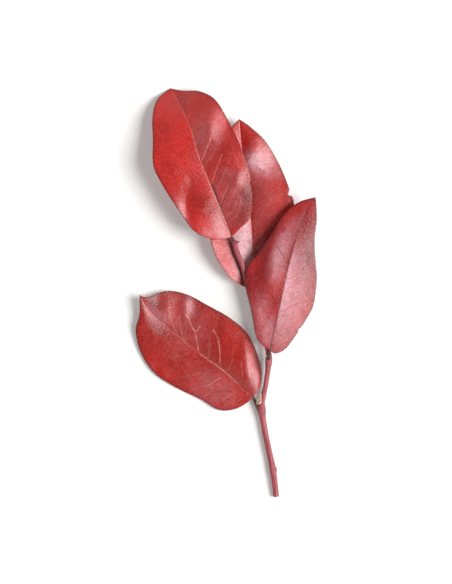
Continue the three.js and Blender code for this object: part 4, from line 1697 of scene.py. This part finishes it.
LEAF_RIGHT = Blade(
    node="leaf_right",
    foot=(23.4, -31.1, 7.4),
    heading=73.3,
    length=85.4,
    midrib=((22.3, 1.5), (46, 3.3), (66.1, 3.5), (75.9, 2.9)),
    midrib_lift=(0, 1.7, 2.6, 2.9, 2.5, 3.6),
    left=HalfBlade(
        margin=((1.4, 4.7), (5.1, 9.2), (17.7, 15.8), (25.3, 20.3), (31.7, 23.3), (39.8, 24.1),
                (48.9, 20.4), (60.9, 16.7), (72.2, 13.4), (80.4, 7.7)),
        lift=(0, 0.3, 1.4, 1.6, 2.4, 3.6),
        crown=(0, 1.0, 0.7, 0.4, 0.3, 0),
        veins=(0.16, 0.32, 0.48, 0.64, 0.8),
        ripple_phase=0.1,
    ),
    right=HalfBlade(
        margin=((-0.9, 3.4), (2.8, 7.9), (10.7, 11), (21, 14.1), (29.9, 15.7), (43.3, 13.5), (53.3, 9.7),
                (63.5, 6.1), (75.1, 3.8)),
        lift=(0, -2.7, -3.9, -1.8, 0.8, 3.6),
        crown=(0, -0.1, -0.3, -0.3, 0, 0),
        veins=(0.2, 0.36, 0.55, 0.7, 0.84),
        ripple_phase=0.4,
        notches=(Notch(0.24, 0.9),),
    ),
    ripples=2.6,
    ripple_height=0.15,
    facets=(
        Facet(38.4, 16.5, 9.0, 3.0, 0, -0.2),
        Facet(49.2, 9.0, 14.0, 4.0, 3, 0.37),
        Facet(13.0, 9.5, 14.0, 4.0, 15, 0.48),
    ),
    # Darker patches, partly uneven colour; the band on the lower left margin is painted shade.
    stains_and_shades=(
        StainAndShade(20.0, 18.5, 16.0, 1.4, 20, 0.5),
        StainAndShade(10.0, -8.0, 10.0, 5.0, 30, 0.16),
        StainAndShade(44.0, -11.0, 24.0, 3.2, 10, 0.2),
        StainAndShade(53.0, -6.0, 17.0, 3.2, 14, 0.45),
        StainAndShade(13.0, 14.0, 9.0, 3.0, 42, 0.3),
    ),
    # Pale patches, partly a waxy coat and partly painted sheen.
    blooms_and_sheens=(
        BloomAndSheen(58.0, 9.4, 13.0, 4.8, -8, 0.28, 1),
        BloomAndSheen(12.0, 9.9, 16.0, 8.0, 10, 0.2, 1),
        BloomAndSheen(30.0, -1.8, 28.0, 9.0, 0, 0.33, -1),
        BloomAndSheen(46.0, 9.2, 12.5, 5.0, 0, 0.22, 1),
        BloomAndSheen(37.0, 1.0, 22.0, 2.4, 4, 0.2, -1),
        BloomAndSheen(10.0, 3.4, 9.0, 2.6, 0, 0.26, 1),
    ),
    marked_veins=(
        Vein(((46.6, 3.2), (50.3, 7.7), (54.0, 12.1), (55.3, 15.3)), 0.7),
        Vein(((38.0, 3.0), (41.4, -0.9), (44.9, -3.6), (49.1, -5.0), (54.0, -5.4)), 0.7),
        Vein(((20.4, 1.4), (23.8, -3.2), (27.4, -6.4), (30.6, -8.4), (34.5, -9.6)), 0.6),
        Vein(((12.3, 0.2), (15.5, 5.0), (19.4, 10.1)), 0.5),
    ),
    # Painted shade along the sunken midrib.
    painted_crease_shades=(Vein(((0.0, 0.0), (22.3, 1.5), (46.0, 3.3), (66.1, 3.5), (75.9, 2.9)), 0.9),),
    rib_groove=0.0,
    petiole=((22.9, -37.0, 4.6), (23.2, -34.6, 6.0), (23.5, -31.6, 6.6), (24.4, -28.0, 6.9)),
    finish=DULL_RED,
)

LEAF_LOW = Blade(
    node="leaf_low",
    foot=(14.5, -56.5, 3.15),
    heading=138,
    length=82,
    midrib=((20.9, 0), (36.6, 1.7), (64.4, 3.1), (74.7, 2.1)),
    midrib_lift=(0, -1.0, -2.15, -2.3, -0.7, 3.2),
    left=HalfBlade(
        margin=((0.6, 5.8), (3.4, 12.3), (9.4, 17.7), (19.8, 19.8), (34, 24), (47.4, 26), (60.2, 23),
                (70.7, 15.9), (75.2, 7.6)),
        lift=(0, -1.2, -1.9, -1.6, -0.3, 3.2),
        crown=(0, 0.3, 0.2, 0.2, 1.0, 0),
        veins=(0.13, 0.3, 0.46, 0.62, 0.78),
        ripple_phase=0.55,
        vein_show=0.6,
    ),
    right=HalfBlade(
        margin=((0.9, 6.6), (5.5, 13.3), (14.3, 19), (25.5, 23.4), (37.7, 23.3), (50.9, 20.4),
                (63.3, 17.2), (72.5, 11.4), (77.9, 2.2)),
        lift=(0, -1.9, -1.2, -0.9, -1.3, 3.2),
        crown=(0, 3.7, 2.9, 1.6, 0.8, 0),
        veins=(0.2, 0.39, 0.55, 0.71, 0.85),
        ripple_phase=0.1,
    ),
    ripples=3.0,
    ripple_height=0.2,
    facets=(
        Facet(72.5, 5.0, 8.0, 2.0, 0, 0.08, 10, -1),
        Facet(57.6, -13.6, 6.5, 2.5, -48, 0.55),
        Facet(13.2, -12.9, 13.0, 2.3, -44, 0.42, 2),
        Facet(63.0, -5.0, 9.0, 3.0, 0, 0.18),
        Facet(70.5, -7.0, 7.0, 3.5, -30, -0.2),
        Facet(54.0, 8.0, 12.0, 6.0, 90, -0.1, -42),
    ),
    # Darker patches, partly uneven colour; the band on the right margin beside the stem is painted shade.
    stains_and_shades=(
        StainAndShade(10.3, -15.5, 13.0, 1.8, -34, 0.9),
        StainAndShade(72.6, -4.6, 7.0, 5.0, -35, 0.5),
        StainAndShade(75.2, -1.4, 4.5, 2.6, 0, 0.5),
        StainAndShade(61.5, 6.4, 9.0, 3.6, 0, 0.4),
        StainAndShade(44.0, 16.0, 16.0, 8.0, -10, 0.08),
    ),
    # Pale patches, partly a waxy coat and partly painted sheen.
    blooms_and_sheens=(
        BloomAndSheen(69.0, 1.8, 9.0, 3.0, 4, 0.34),
        BloomAndSheen(63.5, -1.0, 9.0, 4.0, 0, 0.12),
        BloomAndSheen(56.0, -8.0, 20.0, 11.0, -20, 0.15, -1),
        BloomAndSheen(18.0, 11.0, 15.0, 10.0, 20, 0.22, 1),
        BloomAndSheen(9.5, -10.2, 13.0, 3.4, -38, 0.38),
        BloomAndSheen(57.6, -13.4, 6.0, 3.2, -48, 0.24),
    ),
    marked_veins=(
        Vein(((38.1, 1.0), (41.8, -1.5), (46.6, -5.2), (50.7, -6.5), (53.6, -8.2), (56.6, -9.1)), 0.95),
        Vein(((46.6, -5.2), (46.2, -7.3), (46.7, -9.4)), 0.6),
        Vein(((24.7, -1.0), (28.0, -4.6), (33.0, -9.4), (37.5, -11.9), (40.1, -12.4)), 0.9),
        Vein(((11.2, -4.5), (14.1, -6.9), (17.4, -9.7)), 0.5, 0.2),
        Vein(((52.3, 2.1), (56.4, 0.8), (61.2, -2.1), (65.6, -5.4)), 0.45, 0.2),
        Vein(((48.1, 2.0), (52.9, -0.9), (58.7, -5.8)), 0.4, 0.2),
        Vein(((19.7, 3.9), (20.5, 6.1), (21.5, 10.6), (23.6, 13.9)), 0.6),
        Vein(((9.9, 6.6), (10.2, 9.0), (10.9, 11.9)), 0.5),
    ),
    rib_shows=(0, 0.2, 0.9, 1, 0.7, 0.2, 0.5, 0.9, 0.7, 0.2, 0),
    petiole=((18.4, -65.0, 2.6), (16.8, -61.8, 2.4), (15.2, -58.0, 2.5), (13.6, -55.5, 2.5),
             (11.4, -53.6, 2.3)),
    finish=RED,
)

LEAF_TOP = Blade(
    node="leaf_top",
    foot=(2.7, 29.4, 9.9),
    heading=112.2,
    length=87,
    midrib=((16.3, -0.3), (45.8, -0.4), (62.1, -2), (80.9, -1.1)),
    midrib_lift=(0, 1.4, 2.3, 1.6, -2.4, -9.7),
    left=HalfBlade(
        margin=((2.5, 9.4), (9.9, 16.8), (21.7, 20.1), (37.1, 23.1), (50.5, 24), (64.1, 19),
                (75.7, 14.6), (83.7, 8.7)),
        lift=(0, 4.2, 4.8, 3.4, -1.6, -9.7),
        crown=(0, 0.5, 0.8, 1.0, 0.6, 0),
        veins=(0.14, 0.3, 0.46, 0.62, 0.78),
        ripple_phase=0.3,
        vein_show=0.35,
    ),
    right=HalfBlade(
        margin=((2.8, 7), (6.2, 13.6), (16.8, 18.9), (28.8, 22.2), (43.5, 23), (58.4, 22.1),
                (71.5, 19.9), (79.2, 13.8), (82.7, 6.5)),
        lift=(0, 2.4, 3.6, 2.4, -2.6, -9.7),
        crown=(0, 0.6, 1.6, 2.0, 1.2, 0),
        veins=(0.2, 0.32, 0.46, 0.6, 0.74, 0.87),
        ripple_phase=0.75,
        notches=(Notch(0.31, 0.9),),
    ),
    ripples=3.4,
    ripple_height=0.2,
    facets=(
        Facet(58.5, -16.8, 9.5, 4.2, -22, 0.74, -8),
        Facet(26.2, -18.0, 4.5, 3.0, -22, 0.38),
        Facet(7.0, 1.6, 9.0, 2.6, 0, 0.24, 0, -1),
        Facet(22.4, 19.4, 7.5, 2.2, 0, 0.5, 0, -1),
        Facet(25.0, 7.4, 12.0, 6.0, 15, -0.25),
    ),
    # Darker patches, partly uneven colour and partly painted shade, as on the right margin below the notch
    # and over the right half.
    stains_and_shades=(
        StainAndShade(16.5, -16.0, 9.0, 3.4, -28, 0.6),
        StainAndShade(29.0, -11.0, 30.0, 10.0, -8, 0.36),
        StainAndShade(8.0, -8.5, 7.0, 5.0, 0, 0.26),
        StainAndShade(73.0, -12.0, 8.0, 7.0, 0, 0.2),
        StainAndShade(76.0, 6.0, 12.0, 12.0, 0, 0.1),
        StainAndShade(24.0, 7.5, 12.0, 7.0, 25, 0.36),
    ),
    # Pale patches, partly a waxy coat and partly painted sheen.
    blooms_and_sheens=(
        BloomAndSheen(19.9, -7.3, 17.0, 9.0, -10, 0.24, -1),
        BloomAndSheen(53.7, -6.8, 13.0, 7.0, -10, 0.2, -1),
        BloomAndSheen(6.0, 3.4, 9.5, 4.0, 0, 0.44, 1),
        BloomAndSheen(5.0, 9.0, 6.0, 3.4, 60, 0.3, 1),
        BloomAndSheen(58.0, -16.0, 10.0, 5.0, -22, 0.28, -1),
        BloomAndSheen(22.4, 19.4, 9.0, 2.8, 0, 0.36),
        BloomAndSheen(29.0, -15.0, 9.0, 2.6, 40, 0.12, -1),
    ),
    marked_veins=(
        Vein(((43.6, -0.6), (44.7, -2.1), (48.0, -5.2), (50.4, -7.8), (54.2, -11.1)), 0.75),
        Vein(((29.6, -0.6), (31.8, -2.6), (36.9, -7.0), (42.3, -12.1)), 0.5, 0.2),
        Vein(((18.2, -0.9), (22.0, -5.0), (26.0, -9.2)), 0.35, 0.18),
        Vein(((19.9, -11.8), (15.8, -12.2), (11.3, -8.9), (8.5, -7.0)), 0.3, 0.16),
        Vein(((11.4, -1.7), (11.8, -4.4), (13.5, -7.6), (16.8, -10.0)), 0.28, 0.16),
    ),
    # Painted shade along the sunken midrib and a side vein.
    painted_crease_shades=(
        Vein(((16.5, -0.6), (20.5, -4.9), (24.9, -9.5)), 0.6),
        Vein(((30.0, -1.2), (16.3, -0.5), (8.0, 0.1), (2.0, -0.3)), 0.8, 0.5),
    ),
    rib_shows=(1.0, 1.0, 0.9, 0.75, 0.5, 0.3),
    petiole=((4.4, 26.2, 8.6), (3.7, 28.0, 8.8), (2.6, 29.8, 8.9), (1.3, 33.0, 9.0)),
    finish=TOP_RED,
)

STEM = Rod(
    name="stem_bark_rod",
    stations=(
        (27.1, -110.3, 1.7, 1.55), (25.1, -95.2, 2.0, 1.62), (21.0, -75.3, 2.1, 1.6), (19.2, -62.5, 2.6, 1.6),
        (20.1, -56.0, 2.9, 1.45), (21.7, -47.9, 3.3, 1.35), (23.0, -34.9, 4.2, 1.5), (20.8, -25.0, 4.7, 1.35),
        (17.3, -14.0, 5.1, 1.3), (12.4, 0.7, 5.9, 1.35), (9.4, 12.3, 6.8, 1.35), (6.0, 21.0, 7.8, 1.5),
        (4.3, 27.4, 8.7, 1.5),
    ),
    swells=((-95.5, 0.2), (-63.5, 0.55), (-37.0, 0.4), (-2.0, 0.4)),
    wart_density=60000.0,
)

BUDS = (
    Bud("bud_old_scar", (26.5, -96.8, 2.1), (0.22, 1, 0.1), 2.8, 1.1, woody=True),
    Bud("bud_low", (17.3, -60.3, 3.6), (0.3, 1, 0.35), 6.4, 1.5),
    Bud("bud_right", (22.0, -35.4, 5.0), (-0.5, 1, 0.5), 3.2, 0.9),
    Bud("bud_back", (11.2, 2.0, 6.6), (-0.6, 1, 0.35), 2.8, 0.8),
    Bud("bud_end", (4.4, 26.2, 9.4), (1, 0.3, 0.2), 3.4, 1.2, woody=True),
)


@dataclass(frozen=True)
class SalalStem:
    """The whole lying stem: rod, cut, buds, petioles and leaves, in millimetres."""

    rod: Rod = STEM
    buds: tuple[Bud, ...] = BUDS
    leaves: tuple[Blade, ...] = (LEAF_LOW, LEAF_RIGHT, LEAF_BACK, LEAF_TOP)
    # The fold tones are painted shade in grooves and on flanks.
    bark: BarkFinish = BarkFinish("stem_bark")
    bud_skin: BarkFinish = BarkFinish("bud_skin", light="#f3e4d4", dark="#c79f8a", fold="#5a3a34")
    petiole_bark: BarkFinish = BarkFinish("petiole_bark", light="#7a4644", dark="#482628", fold="#2a1517")
    tooth_skin: BarkFinish = BarkFinish("tooth_skin", light="#8d3b39", dark="#5a2422", fold="#3c1c1d")
    cut_inset: float = 0.12
    petiole_radius: float = 1.05
    petiole_end_radius: float = 0.6

    def build(self, effects: Effects, growth: Growth) -> None:
        """Builds, dresses and ties every piece.

        Args:
            effects: The shared shader groups.
            growth: The geometry node trees.
        """
        bark = self.bark.material(effects)
        settle(self.rod.build(growth, bark), Slot.BARK, "stem")
        axis, radius = self.rod.line()
        cut = CutFace(tuple(axis[0]), tuple(axis[0] - axis[3]), float(radius[0]) - self.cut_inset)
        settle(cut.build(CutWoodFinish()), Slot.BARK)
        bud_skin = self.bud_skin.material(effects)
        for bud in self.buds:
            settle(bud.build(growth, bark if bud.woody else bud_skin), Slot.BARK)
        petiole_bark = self.petiole_bark.material(effects)
        tooth_skin = self.tooth_skin.material(effects)
        for leaf in self.leaves:
            settle(leaf.build(effects), Slot.LEAF, leaf.node)
            settle(self.petiole(leaf).build(growth, petiole_bark), Slot.LEAF)
            settle(leaf.margin_teeth(growth, tooth_skin), Slot.LEAF)

    def petiole(self, leaf: Blade) -> Rod:
        """Makes the rod that carries a leaf, from inside the stem to inside its midrib.

        Args:
            leaf: The leaf.

        Returns:
            The rod.
        """
        thickness = np.linspace(self.petiole_radius, self.petiole_end_radius, len(leaf.petiole))
        stations = tuple((*place, float(radius)) for place, radius in zip(leaf.petiole, thickness))
        return Rod(leaf.piece_name("petiole"), stations, rings=70, sides=24, ridges=4)


def corners(box: Any) -> list[list[float]]:
    """A box's two corners as plain lists."""
    return [[float(value) for value in corner] for corner in box]


def main() -> None:
    """Builds the studio and the plant."""
    logging.basicConfig(level=logging.INFO, format="%(name)s %(message)s")
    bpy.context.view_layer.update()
    Studio().build()
    SalalStem().build(Effects(), Growth())


if __name__ == "__main__":
    main()
